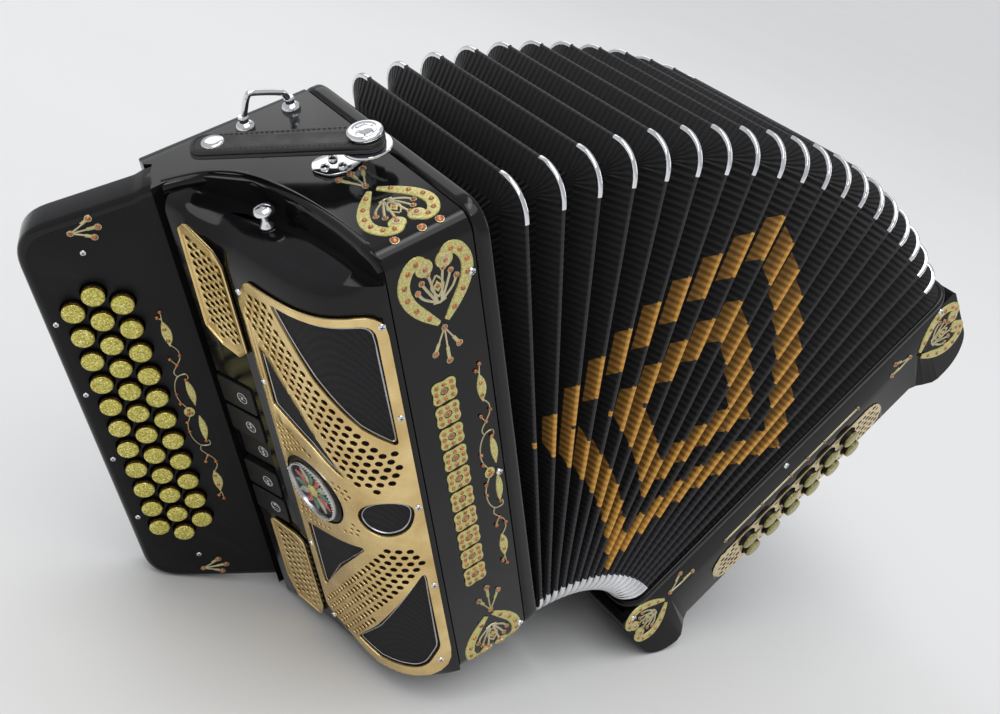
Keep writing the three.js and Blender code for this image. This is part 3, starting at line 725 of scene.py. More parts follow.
def heart(build, surface):
    """Two curled halves with stones, a lotus of thin petals between them; the tip is at the origin."""
    for side in (-1, 1):
        line = spline([(side * a, b) for a, b in HEART_LINE], 4)
        widths = [w.x for w in spline([(w, 0) for w in HEART_WIDTHS], 4)]
        build.ribbon(line, widths, 0.9, ORNAMENT, surface)
        eye = (side * 5.7, 35.8)
        build.lathe([(4.9, 0), (4.7, 0.7), (3.8, 1.05), (AXIS, 1.05)], ORNAMENT, surface, eye, 24)
        build.lathe([(2.6, 0.9), (2.5, 1.4), (1.6, 1.6), (AXIS, 1.6)], STEM, surface, eye, 20)
        stone(build, surface, *eye, 1.3, 1.3)
        for point in line[5:26:4]:
            stone(build, surface, *point, 1.25, 0.75)
        for reach, rise in ((11.0, 23.5), (8.2, 28.0), (4.4, 31.5)):
            petal = spline([(side * 1.2, 13), (side * reach * 0.75, rise - 5), (side * reach, rise)], 5)
            build.ribbon(petal, 0.8, 0.6, STEM, surface)
            collared_stone(build, surface, side * reach, rise, 1.1)
        build.ribbon(spline([(0, 29), (side * 3.6, 22.5), (0, 16)], 4), 0.6, 0.6, STEM, surface)
    build.plate([(0, 26), (2.4, 22.5), (0, 19), (-2.4, 22.5)], [], 0, 0.6, ORNAMENT, surface, 0.1)
    stone(build, surface, 0, 22.5, 0.95, 0.5)
    build.ribbon([(-3.8, 13.4), (0, 12.4), (3.8, 13.4)], 0.7, 0.6, STEM, surface)


def leaf(build, surface, start, end, width):
    """A pointed leaf with a raised middle."""
    line, widths = [], []
    for k in range(9):
        share = k / 8
        bow = math.sin(math.pi * share)
        line.append((start[0] + (end[0] - start[0]) * share + 0.5 * bow,
                     start[1] + (end[1] - start[1]) * share))
        widths.append(max(width * bow**0.8, 0.25))
    build.ribbon(line, widths, 0.75, ORNAMENT, surface)


def vine(build, surface):
    """A climbing ornament, 158 tall, about its own middle."""
    for side in (-1, 1):
        def at(a, b):
            return a, side * b
        leaf(build, surface, at(2.2, 4.5), at(1.4, 26), 2.3)
        leaf(build, surface, at(-0.5, 53), at(-0.5, 72), 2.9)
        stems = [[(-3, 3), (-6.5, 12), (-6, 22), (-2.5, 29), (2.6, 30), (3.2, 26.5), (1.2, 25.6)],
                 [(-2.5, 29), (-3.6, 33), (-0.5, 38), (2.6, 43), (2.8, 49), (-0.3, 54)],
                 [(-0.5, 38), (-3.2, 43)], [(-0.5, 71), (0.2, 78)], [(-0.2, 73), (-2.2, 75)]]
        for stem in stems:
            build.ribbon(spline([at(*p) for p in stem], 5), 0.42, 0.6, STEM, surface)
        for a, b in ((1.6, 25.8), (-6.4, 16), (-3.2, 43.5), (3.0, 45), (0.2, 79), (-2.4, 75.3), (-0.5, 38.3),
                     (-6.0, 8), (-0.6, 57.5), (-0.5, 66)):
            stone(build, surface, *at(a, b), 1.05, 0.45)
    build.plate(circle(-2.6, 0, 3.4, 10, 0.3, 1.15), [], 0, 0.7, ORNAMENT, surface, 0.2)
    for a, b in ((-2.6, 1.6), (-3.6, -1.4), (-1.4, -1.0)):
        stone(build, surface, a, b, 0.9, 0.6)


def rosette_chain(build, surface, count, pitch):
    """A plain row of open four-lobed rosettes with stones."""
    for i in range(count):
        b = (i - (count - 1) / 2) * pitch
        lobes = []
        for k in range(32):
            angle = 2 * math.pi * k / 32
            reach = 7.9 - 1.2 * math.cos(4 * angle)
            lobes.append((reach * math.cos(angle), b + reach * math.sin(angle)))
        build.plate(lobes, [circle(0, b, 2.5, 16)], 0, 0.8, ORNAMENT, surface, 0.2)
        for k in range(8):
            angle = 2 * math.pi * k / 8
            reach = 5.6 - 0.7 * math.cos(4 * angle)
            stone(build, surface, reach * math.cos(angle), b + reach * math.sin(angle), 1.05, 0.7)
        collared_stone(build, surface, 0, b, 1.3)


# ---------- casings ----------
BORE_REACH, BORE_DEPTH = 11, 30  # edges this near to a button's axis and to the front belong to its bore
WALL = 5  # edges deeper in the bass casing than this belong to its inner cavity
QUARTER = [math.pi / 2 * k / 5 for k in range(6)]


def on_bass_edges(point):
    """Whether an edge of the bass casing is neither at a bore nor in its inner cavity."""
    spot = BASS.inverted() @ point
    bored = [(u * math.cos(BASS_SLOPE) + BASS_SLOPE_START, r) for u, r in BASS_BUTTONS]
    beside = any(math.hypot(spot.x - x, spot.z - r) < BORE_REACH for x, r in bored)
    near_air = math.hypot(spot.y - AIR_BUTTON[0], spot.z - AIR_BUTTON[1]) < BORE_REACH
    across = WALL < spot.x < BASS_OUTER - WALL - 0.5 and WALL < spot.y < CASE_DEPTH - WALL
    hidden = across and RIDGE_LOW - 4.5 < spot.z < RIDGE_HIGH - 0.5
    return not (beside and spot.y < BORE_DEPTH or near_air or hidden)


def bellows_frame(node_name, body, matrix, near, far, low, high, soft):
    """The moulded frame between a casing and the bellows: a ring with rounded corners and soft edges."""
    profile = [(near + soft * (1 - math.sin(t)), soft * (1 - math.cos(t))) for t in reversed(QUARTER)]
    profile += [(far - soft * (1 - math.sin(t)), soft * (1 - math.cos(t))) for t in QUARTER]
    profile += [(far, 21), (near, 21)]
    rings = []
    for x, inset in profile:
        y0, y1 = inset - FRAME_LIP, CASE_DEPTH + FRAME_LIP - inset
        z0, z1 = low + inset, high - inset
        path = rounded([(y0, z0), (y1, z0), (y1, z1), (y0, z1)], max(19 - inset, 3), 12)
        rings.append([(x, y, z) for y, z in path])
    ring = Build()
    ring.loops(rings, GLOSS, flat(matrix), closed=True)
    ring.make(node_name + "_finish", body, (node_name,), 50)


refined("treble_frame", "treble_side", GLOSS)
refined("treble_cover", "treble_side", GLOSS, sharp=38)
bellows_frame("treble_bellows_frame", "treble_side", TREBLE, FRAME_NEAR, 10.4, -FRAME_LIP,
              CASE_HEIGHT + FRAME_LIP, 3.2)
bellows_frame("bass_bellows_frame", "bass_side", BASS, -1.6, 4.2, RIDGE_LOW - 2, RIDGE_HIGH + 2, 2.2)
refined("bass_casing", "bass_side", DEEP_GLOSS, 3.2, 40, on_bass_edges)
repaint("treble_soundboard", WOOD)
repaint("treble_reed_block", REEDS)
repaint("bass_reed_block", REEDS)

# A rolled lip runs round the casing's top, above the cover; at the front it starts thinner and lower.
LIP = [(-48.2, 3), (-48.5, 14), (-48.6, 26), (-49.2, 40), (-50.6, 54.5), (-53, 71), (-56.6, 88),
       (-60.5, 101.5), (-67.5, 114.5), (-78, 124.6), (-88, 129.4), (-99, 133)]
LIP_LEVEL, LIP_DROP = 316.2, 5.5
LIP_RADIUS, LIP_THINNED = 4.2, 1.4
lip = Build()
lip_line, lip_radii = [], []
for i, point in enumerate(spline(LIP, 6)):
    start = max(1 - i / 6, 0)
    lip_line.append((*point, LIP_LEVEL - LIP_DROP * start**2))
    lip_radii.append(LIP_RADIUS - LIP_THINNED * start)
lip.tube(lip_line, lip_radii, GLOSS, flat(TREBLE), 20)
lip.make("casing_lip", "treble_side", sharp=60)

# ---------- grilles ----------
MEDALLION, MEDALLION_HOLE = (70.5, 151), 23
SHEET_LOW, SHEET_HIGH = 0.9, 2.8  # the grille sheet's two faces, above the cover
GRILLE = rounded([(2.5, 7.5), (52, 7.5), (94.5, 27), (94.5, 274), (84, 291), (2.5, 291)],
                 [22, 8, 12, 12, 6, 14])
WINDOWS = [
    rounded([(8, 286), (65, 287), (57.5, 272), (45.5, 248), (24, 219), (8, 204)], [9, 2, 20, 20, 10, 2]),
    rounded([(87.5, 250), (89, 206), (60, 192), (37, 174.5), (55, 202), (70, 226)], [2, 3, 20, 2, 20, 20]),
    spline([(8, 158), (16, 163.5), (27, 163), (35, 157), (38, 148), (34, 140.5), (25, 136.5), (14, 139.5),
            (8.5, 148)], 4, True),
    rounded([(37, 123.5), (89, 111), (89, 52), (65, 88)], [2, 3, 2, 20]),
    rounded([(8, 105), (43, 51), (66, 21.5), (48, 15.5), (19, 15.5), (8, 34)], [2, 20, 2, 8, 14, 14]),
]
# Each region with the slant of its rows, the pitch of its holes and their radius.
PERFORATED = [
    ([(8, 187), (8, 197), (28, 219), (48, 247), (60, 268), (69, 287), (82, 288), (91, 273), (91, 264),
      (80, 248), (62, 220), (46, 195), (34, 177), (24, 172), (14, 176)], 0.96, 6.0, 1.95),
    ([(8, 110), (9, 124), (18, 129), (30, 127), (36, 119), (62, 84), (88, 45), (91, 36), (86, 24),
      (76, 17), (68, 23), (46, 53), (26, 84)], -0.93, 6.0, 1.95),
    ([(64, 181), (88, 197), (91, 190), (91, 172), (87, 171), (80, 177), (72, 180)], 0.5, 4.6, 1.3),
    ([(62, 124), (72, 124), (82, 129), (88, 137), (91, 137), (91, 118), (80, 117)], -0.3, 4.6, 1.3),
    ([(38, 168), (52, 172), (50, 166), (45, 160), (40, 158)], 0.2, 4.4, 1.1),
    ([(38, 132), (52, 129), (48, 136), (44, 142), (40, 142)], -0.2, 4.4, 1.1),
]
ROW_SHARE = 0.87  # staggered rows lie this share of a pitch apart
ROW_REACH = range(-40, 41)
SLICE = 3.0


def perforations(region, angle, pitch, radius, sides=10):
    """Staggered holes inside a region, in rows that run along the angle."""
    along = Vector((math.cos(angle), math.sin(angle)))
    across = Vector((-along.y, along.x))
    centre = centre_of(region)
    holes = []
    for i in ROW_REACH:
        for j in ROW_REACH:
            point = centre + along * pitch * (i + 0.5 * (j % 2)) + across * pitch * ROW_SHARE * j
            if inside(point, region):
                holes.append(circle(*point, radius, sides))
    return holes


def bend_slices(low, high):
    """Where a sheet is cut across so that it can follow the bulge."""
    return [low + SLICE * k for k in range(int((high - low) / SLICE) + 1)]


grille = Build()
holes = [hole for region in PERFORATED for hole in perforations(*region)]
grille.plate(GRILLE, WINDOWS + [circle(*MEDALLION, MEDALLION_HOLE, 40)] + holes, SHEET_LOW, SHEET_HIGH,
             GOLD, on_bulge, 0.35, bend_slices(3, 94))
grille.make("main_grille_sheet", "treble_side", ("main_grille",))

trim = Build()
for window in WINDOWS:
    centre = centre_of(window)
    inner = []
    for point in window:
        inward = centre - Vector(point)
        spot = Vector(point) + inward.normalized() * min(1.7, inward.length * 0.3)
        inner.append(Vector((*spot, SHEET_LOW)))
    dense = []
    for first, second in zip(inner, inner[1:] + inner[:1]):
        parts = max(1, int((second - first).length / 5))
        dense.extend([first.lerp(second, k / parts) for k in range(parts)])
    trim.tube(dense, 0.45, DULL_CHROME, on_bulge, 6, closed=True)
for a, b in ((5, 283.5), (4.6, 223.5), (5, 157), (5, 91), (9.5, 22), (91.5, 281), (92, 220), (92, 153),
             (91.5, 90), (89, 23)):
    screw(trim, on_bulge, a, b, 1.9, 1.0, SHEET_HIGH)
trim.make("grille_trim", "treble_side", sharp=50)

screens = Build()
screens.plate(rounded([(5, 10), (52, 10), (92, 29), (92, 272), (83, 288), (5, 288)], 6), [], 0.1, 0.7,
              SCREEN, on_bulge, 0.1, bend_slices(6, 92))
screens.make("grille_screen", "treble_side")

SIDE_ROWS = 1.5708  # the side grilles' rows run straight up
UPPER_SIDE = [(103, 290), (108, 298), (126, 308), (131, 304), (133, 240), (123, 231), (110, 228),
              (103, 234)]
LOWER_SIDE = [(102.5, 81), (108, 84), (130, 87), (130.5, 32), (125.5, 14), (106, 9), (102, 20)]
for name, corners in (("upper_side_grille", UPPER_SIDE), ("lower_side_grille", LOWER_SIDE)):
    outline = rounded(corners, 3)
    centre = centre_of(outline)
    field = [tuple(centre + (Vector(p) - centre) * 0.86) for p in outline]
    side = Build()
    holes = perforations(field, SIDE_ROWS, 5.4, 1.75, 8)
    side.plate(outline, holes, SHEET_LOW, 2.4, GOLD, on_bulge, slices=bend_slices(104, 131))
    side.tube([(a, b, 2.3) for a, b in outline], 0.8, GOLD, on_bulge, 6, closed=True)
    side.make(name + "_sheet", "treble_side", (name,))


def bulge_plane(a, b, height):
    """A flat plane that touches the bulge: its own (x, y, height)."""
    point, tangent = bulge_at(a, height)
    across = Vector((tangent.x, tangent.y, 0))
    out = Vector((-tangent.y, tangent.x, 0))
    rotation = Matrix((across, Vector((0, 0, -1)), out)).transposed().to_4x4()
    rotation = rotation if rotation.determinant() > 0 else rotation @ Matrix.Scale(-1, 4, (0, 1, 0))
    return flat(TREBLE @ Matrix.Translation((point.x, point.y, b)) @ rotation)


BEZEL, BEADS, DIAL = 19.6, 18.7, 17.2  # radii of the medallion's bezel, its beads and its dial
medallion = Build()
plane = bulge_plane(*MEDALLION, 1.0)
medallion.lathe([(21.8, -1), (22.2, 0.6), (21, 1.4), (BEZEL, 1.6), (BEZEL, 0.8), (AXIS, 0.8)], TAB, plane,
                segments=56)
medallion.lathe([(BEZEL, 0.8), (BEZEL, 2.8), (18.8, 3.6), (17.8, 3.4), (DIAL, 1.6), (DIAL, 0.6)],
                DULL_CHROME, plane, segments=56)
for spot in circle(0, 0, BEADS, 56):
    medallion.lathe([(0.62, 2.6), (0.7, 3.5), (0.4, 4.1), (AXIS, 4.2)], CHROME, plane, spot, 6)
medallion.lathe([(DIAL, 0.6), (DIAL, 1.3), (10, 1.9), (AXIS, 2.0)], SATIN, plane, segments=40)
petal_line = [(4.5 + 1.4 * i, 0) for i in range(9)]
petal_widths = [max(2.5 * math.sin(math.pi * i / 8) ** 0.7, 0.3) for i in range(9)]
for k in range(12):
    look = (GREEN_ENAMEL, WHITE_ENAMEL, RED_ENAMEL)[k % 3]
    medallion.ribbon(petal_line, petal_widths, 1.0, look, tilted(plane, 0, 0, 2 * math.pi * k / 12), 1.5)
medallion.lathe([(4.4, 1.5), (4.2, 2.6), (2.6, 3.4), (AXIS, 3.6)], ORNAMENT, plane, segments=20)
medallion.make("grille_medallion", "treble_side")

# ---------- registers ----------
REGISTER_LINE = 129  # how far along the bulge the registers lie
PRESSED, PRESSED_DEPTH = 3, 3.0
REED_DOTS = ((0,), (0, 1), (-1, 0, 1), (-1, 0), (1,))
for k in range(1, 6):
    name = f"register_tab_{k}"
    refined(name, f"register_{k}", TAB, 0.7)
    low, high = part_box(name)
    station = TREBLE.inverted() @ ((low + high) / 2)
    point, tangent = bulge_at(REGISTER_LINE, 0)
    sunk = PRESSED_DEPTH if k == PRESSED else 0.0
    turn = math.atan2(tangent.y, tangent.x)
    tab = TREBLE @ Matrix.Translation((point.x, point.y, station.z)) @ spin(turn)
    face = flat(tab @ Matrix.Translation((-6, 1.5 - sunk, 0)) @ spin(math.pi) @ TURN_UP)
    marks = Build()
    marks.tube([(a, b, 0) for a, b in circle(0, 0, 3.6, 32)], 0.22, MARKING, face, 6, closed=True)
    for line in (-1.2, 1.2):
        marks.tube([(-3.3, line, 0), (3.3, line, 0)], 0.12, MARKING, face, 5)
    for row in REED_DOTS[k - 1]:
        marks.lathe([(0.75, -0.1), (0.75, 0.2), (AXIS, 0.25)], MARKING, face, (0, row * 2.3), 12)
    marks.make(f"register_marks_{k}", f"register_{k}")

# ---------- fingerboard ----------
BUTTON_PITCH = 17.15
FIRST_BUTTON = 263
BUTTON_BORE = 7.1
ROWS = {"outer": (-13.1, 11, 0.5), "middle": (0, 12, 0), "inner": (13.1, 11, 0.5)}
BUTTON_PLACES = {row: [(u, FIRST_BUTTON - (start + i) * BUTTON_PITCH) for i in range(count)]
                 for row, (u, count, start) in ROWS.items()}
PLATE_INSET, PLATE_THICK = 3.2, 5
BOARD_BACK = 22
FRONT_ROLL, BACK_ROLL = 4.2, 2.5  # radii of the shell's edges round its face and its back


def board_ring(inset, depth):
    """The fingerboard's outline, drawn in by an inset, as a ring at a depth behind its face."""
    upper, lower = 1.04 * inset, 1.05 * inset
    corners = [(46.5, 320.3 - upper), (41, 319.4 - upper), (36, 317.2 - upper),
               (-31 + inset, 306 - 0.9 * inset), (-31 + inset, 36 + 0.9 * inset),
               (-5 + 0.2 * inset, 28 + lower), (46.5, 14.2 + lower)]
    radii = [1, 8, 14, 24 - inset, 26 - inset, 12, 1]
    return [(a, b, -depth) for a, b in rounded(corners, radii, 9)]


board = Build()
bores = [circle(u, z, BUTTON_BORE, 28) for places in BUTTON_PLACES.values() for u, z in places]
board.plate([point[:2] for point in board_ring(PLATE_INSET, 0)], bores, -PLATE_THICK, 0, SATIN, ON_BOARD)
board.make("fingerboard_plate", "treble_side", ("fingerboard",))

# The shell closes behind the plate, comes up inside its edge, rolls over it and ends at the back.
shell_rings = [board_ring(FRONT_ROLL + 0.4, 16), board_ring(FRONT_ROLL + 0.4, 0)]
for t in QUARTER:
    shell_rings.append(board_ring(FRONT_ROLL * (1 - math.sin(t)), FRONT_ROLL * (1 - math.cos(t)) - 0.3))
for t in QUARTER:
    shell_rings.append(board_ring(BACK_ROLL * (1 - math.cos(t)), BOARD_BACK - BACK_ROLL * (1 - math.sin(t))))
shell = Build()
shell.loops(shell_rings, GLOSS, ON_BOARD)
shell.make("fingerboard_shell", "treble_side", ("fingerboard_housing",), 50)

CAP = [(6.15, 3.5), (6.0, 3.95), (5.3, 4.35), (4.2, 4.52), (2.5, 4.6), (AXIS, 4.62)]
CAP_RIM = [(6.25, 1.6), (6.3, 2.9), (6.15, 3.55), (AXIS, 3.6)]
CAP_SHAFT = [(6.1, -9.6), (6.1, 1.7), (AXIS, 1.75)]
RAIL_HALF, RAIL_BEYOND = 3.2, 4  # the rail's half width, and how far it runs past the end buttons
RAIL_TOP, RAIL_FOOT = -9.6, -12.8
for row, places in BUTTON_PLACES.items():
    caps = Build()
    for place in places:
        caps.lathe(CAP, GLITTER, ON_BOARD, place, 32)
        caps.lathe(CAP_RIM, AMBER_EDGE, ON_BOARD, place, 32)
        caps.lathe(CAP_SHAFT, SATIN, ON_BOARD, place, 28)
    u = places[0][0]
    rail = [(u - RAIL_HALF, RAIL_FOOT), (u - RAIL_HALF, RAIL_TOP), (u + RAIL_HALF, RAIL_TOP),
            (u + RAIL_HALF, RAIL_FOOT)]
    ends = (places[0][1] + RAIL_BEYOND, places[-1][1] - RAIL_BEYOND)
    caps.loops([[(a, z, height) for a, height in rail] for z in ends], REEDS, ON_BOARD)
    caps.make(f"treble_button_caps_{row}", f"treble_row_{row}", (f"treble_buttons_{row}_row",), 50)

inlay = Build()
for u, z in ((2.5, 288.9), (-24.7, 246.9), (-24.4, 195.3), (-24.3, 143.5), (-24, 92.1), (2.8, 48.8)):
    screw(inlay, ON_BOARD, u, z, 1.7, 0.7)
sprig(inlay, ON_BOARD, [(11, 309), (14.3, 303.2), (11, 297.5)], (0, 302))
sprig(inlay, ON_BOARD, [(13.2, 41), (16.8, 34.8), (13.2, 29.4)], (2.3, 35.2))
vine(inlay, tilted(ON_BOARD, 29.5, 169, 0, 0.94))
inlay.make("fingerboard_inlay", "treble_side", sharp=50)

# ---------- front strip and top ----------
strip = Build()
heart(strip, tilted(on_strip, -23, 268))
heart(strip, tilted(on_strip, -23.5, 37, math.pi, 0.97, 0.9))
sprig(strip, on_strip, [(-30, 250.8), (-22.6, 243), (-15.8, 250.6)], (-22.8, 264.5))
sprig(strip, on_strip, [(-29, 53.8), (-22.6, 61.6), (-15.2, 53.8)], (-22.2, 40.5))
vine(strip, tilted(on_strip, -6.8, 152))
rosette_chain(strip, tilted(on_strip, -28.7, 152.5), 10, 16.2)
for a in (-37, -22, -12):
    collared_stone(strip, on_strip, a, 323.5, 1.7)
strip.make("front_strip_ornaments", "treble_side", sharp=50)

pins = Build()
for z in (289.5, 149, 12):
    screw(pins, on_strip, -3.6, z, 2.3, 2.4)
pins.make("casing_pins", "treble_side", sharp=50)

top = Build()
heart(top, tilted(ON_TOP, -23.4, 50, math.pi, 0.96, 0.92))
sprig(top, ON_TOP, [(-31.5, 69), (-24.3, 69.2), (-17.3, 69.6)], (-24.3, 55))
top.make("top_ornaments", "treble_side", sharp=50)

# ---------- fittings on the treble side ----------
LOOP = [(-43, 148, 0.6), (-42.6, 147.6, 6), (-40.4, 147, 13), (-38.6, 146.6, 17.0), (-36.3, 146.4, 18.3),
        (-28, 146.3, 15.5), (-21.4, 146.3, 12.7), (-18.4, 146.7, 10.6), (-16.4, 147.4, 6.5),
        (-15.5, 148, 0.6)]
LOOP_FOOT = [(5.2, 0.1), (5.2, 1.2), (4.2, 2.6), (2.6, 3.4), (2.4, 5), (2.9, 6), (2.4, 7), (AXIS, 7.2)]
loop = Build()
loop.tube(spline(LOOP, 6), 1.7, CHROME, ON_TOP, 14)
for a, b, _ in (LOOP[0], LOOP[-1]):
    loop.lathe(LOOP_FOOT, CHROME, ON_TOP, (a, b), 24)
loop.make("strap_loop", "treble_side", ("strap_loop_bracket",), 45)

STUD = (-68.7, 81)
STUD_PROFILE = [(4, -15.4), (4, -14.5), (3, -13.5), (2.4, -11.3), (2.4, -8), (4.8, -7.4), (5.6, -6.8),
                (5.6, -5.6), (4.4, -4.2), (2, -3.6), (AXIS, -3.4)]
stud = Build()
stud.lathe(STUD_PROFILE, CHROME, ON_TOP, STUD, 32)
stud.lathe([(1.5, -3.7), (1.4, -3.0), (AXIS, -2.8)], DULL_CHROME, ON_TOP, STUD, 16)
stud.make("shoulder_stud", "treble_side", ("shoulder_strap_stud",), 45)

KNOB = (-13.1, 68)
STRAP_LEVEL = 14
WASHER = [(12.4, -2.6), (12.9, -2.1), (12.9, -1.3), (12.4, -0.8), (AXIS, -0.8)]
KNOB_PROFILE = [(3, -0.2), (3, 4.5), (7.2, 4.6), (8.6, 5.1), (9.25, 6.0), (9.3, 6.9), (8.9, 7.7), (8.0, 8.2),
                (6.8, 8.3), (6.0, 7.9), (5.2, 7.8), (3.6, 8.3), (1.8, 8.7), (AXIS, 8.8)]
ARM = [(-17.5, 74, 1.0), (-15.6, 73.6, 3.4), (-13.6, 72, 6.2), (-10.4, 68.6, 10), (-7, 64.8, 12.2)]
ARM_SECTION = [(0, 0, 0), (5, 12, 0), (5.6, 12, -1.3), (0.5, 0.2, -1.3)]


def at_strap(profile):
    """A turned profile moved up to the strap's level."""
    return [(radius, height + STRAP_LEVEL) for radius, height in profile]


bracket = Build()
bracket.plate(rounded([(-38, 84), (-34, 74), (-24, 70.5), (-14, 74.5), (-12, 90), (-34, 93)],
                      [6, 8, 8, 2, 3, 8]), [], 0.2, 1.8, CHROME, ON_TOP, 0.4)
bracket.loops([[(p.x + a, p.y + b, p.z + height) for a, b, height in ARM_SECTION] for p in spline(ARM, 5)],
              CHROME, ON_TOP)
bracket.lathe(at_strap(WASHER), CHROME, ON_TOP, KNOB, 48)
for a, b in ((-32.3, 80.5), (-25, 75.4), (-25.2, 85.1)):
    screw(bracket, ON_TOP, a, b, 2.6, 2.2, 1.8)
bracket.make("strap_bracket_finish", "treble_side", ("strap_bracket",), 45)

knob = Build()
knob.lathe(at_strap(KNOB_PROFILE), CHROME, ON_TOP, KNOB, 56)
for k in range(6):
    angle = math.pi * k / 3
    ray = [(KNOB[0] + r * math.cos(angle), KNOB[1] + r * math.sin(angle)) for r in (0.8, 2.6, 5.0)]
    knob.ribbon(ray, [0.3, 0.8, 0.25], 0.35, DULL_CHROME, ON_TOP, STRAP_LEVEL + 8.1)
knob.make("strap_knob_finish", "treble_side", ("strap_knob",), 40)


# ---------- leather ----------
STITCH_PITCH, STITCH_RADIUS = 2.6, 0.33


def stitches(build, line, surface):
    """Short threads that follow a line of (x, y, height) points."""
    path = [Vector(p) for p in line]
    thin = STITCH_RADIUS * 0.6
    for first, second in zip(path, path[1:]):
        along = second - first
        count = max(1, round(along.length / STITCH_PITCH))
        for i in range(count):
            ends = [first + along * ((i + share) / count) for share in (0.14, 0.5, 0.86)]
            ends[1] = ends[1] + Vector((0, 0, thin))
            build.tube(ends, [thin, STITCH_RADIUS, thin], THREAD, surface, 6)


TURN = math.atan2(48.8, -59.7)  # from the knob towards the strap's free end
ON_STRAP = flat(TREBLE @ Matrix.Translation((*KNOB, CASE_HEIGHT + STRAP_LEVEL)) @ spin(TURN))


def strap_outline(inset):
    """The strap's outline from its knob end, drawn in by an inset."""
    corners = [(-9 + inset, -11 + inset), (89 - inset, -9 + inset), (89 - inset, 8.5 - inset),
               (-9 + inset, 9.5 - inset)]
    return rounded(corners, [8.5 - inset, 8.2 - inset, 8.2 - inset, 8.5 - inset], 9)


strap = Build()
for low, high, inset in ((-0.6, 1.7, 0), (1.7, 4.2, 0.3)):
    strap.plate(strap_outline(inset), [circle(0, 0, 3.8, 20)], low, high, LEATHER, ON_STRAP, 0.75)
seam = strap_outline(2.2)
stitches(strap, [(a, b, 4.15) for a, b in seam + seam[:1]], ON_STRAP)
STRAP_STUD = (77, 0)
strap.lathe([(6.0, 3.9), (6.0, 4.7), (5.4, 5.3), (3, 5.6), (AXIS, 5.7)], CHROME, ON_STRAP, STRAP_STUD, 36)
strap.lathe([(5, -0.5), (5, -1.4), (3, -1.9), (AXIS, -2.0)], DULL_CHROME, ON_STRAP, STRAP_STUD, 30)
strap.make("bellows_strap_finish", "strap", ("bellows_strap",), 50)

HAND_LOW, HAND_LENGTH, HAND_BOW = 102, 264, 34
HAND_ARC = 280  # the hand strap's length along its bow
HAND_MIDDLE, HAND_HALF = 123, 26.5


def hand_strap_point(share, across, height):
    """On the hand strap: share of the way along it, across it, and out of its middle surface."""
    def middle(t):
        bow = math.sin(math.pi * min(max(t, 0), 1)) ** 0.7 * HAND_BOW
        return Vector((BASS_OUTER + 2.4 + bow, HAND_LOW + HAND_LENGTH * t))
    here = middle(share)
    ahead = (middle(share + 0.01) - middle(share - 0.01)).normalized()
    out = Vector((ahead.y, -ahead.x))
    spot = here + out * height
    return BASS @ Vector((spot.x, across, spot.y))


def on_hand_arc(a, across, height):
    return hand_strap_point(a / HAND_ARC, across, height)


hand = Build()
rings = []
for i in range(61):
    share = 0.005 + 0.99 * i / 60
    swell = 0.35 + 0.65 * math.sin(math.pi * share) ** 0.35
    ring = []
    for c, s in circle(0, 0, 1, 28):
        across = HAND_HALF * math.copysign(abs(c) ** 0.35, c)
        height = 1.9 * swell * math.copysign(abs(s) ** 0.6, s)
        ring.append((share, HAND_MIDDLE + across, height))
    rings.append(ring)
hand.loops(rings, LEATHER, hand_strap_point)
for across in (100.5, 145.5):
    for i in range(70):
        begin = 0.03 + 0.94 * i / 70
        thread = [((begin + 0.0105 * t) * HAND_ARC, across, 1.55 + 0.25 * math.sin(math.pi * t))
                  for t in (0, 0.5, 1)]
        hand.tube(thread, 0.35, THREAD, on_hand_arc, 6)
hand.make("hand_strap_finish", "bass_side", ("bass_hand_strap",), 60)

# ---------- bellows ----------
RIDGE_Y = (0.5, CASE_DEPTH - 0.5)
FRONT_STEPS, TOP_STEPS, CORNER_STEPS = 72, 36, 7


def ring_path(inset, corner):
    """Points round a fold as (y, r), with the same count for every inset: front, top, back, bottom."""
    y0, y1 = RIDGE_Y[0] + inset, RIDGE_Y[1] - inset
    r0, r1 = RIDGE_LOW + inset, RIDGE_HIGH - inset
    corners = [(y0, r0, math.pi), (y0, r1, math.pi / 2), (y1, r1, 0), (y1, r0, -math.pi / 2)]

    def bend(index, share):
        y, r, angle = corners[index % 4]
        centre = Vector((y + (corner if y == y0 else -corner), r + (corner if r == r0 else -corner)))
        t = angle + math.pi / 2 - math.pi / 2 * share
        return centre + Vector((math.cos(t), math.sin(t))) * corner

    points = []
    for i in range(4):
        points.extend([bend(i, k / CORNER_STEPS) for k in range(CORNER_STEPS + 1)])
        steps = FRONT_STEPS if i % 2 == 0 else TOP_STEPS
        begin, end = points[-1], bend(i + 1, 0)
        points.extend([begin.lerp(end, k / steps) for k in range(1, steps)])
    return points


OUTER_RING = ring_path(0.0, FOLD_CORNER)
RING_TRAVEL = [0.0]
for first, second in zip(OUTER_RING, OUTER_RING[1:]):
    RING_TRAVEL.append(RING_TRAVEL[-1] + (second - first).length)


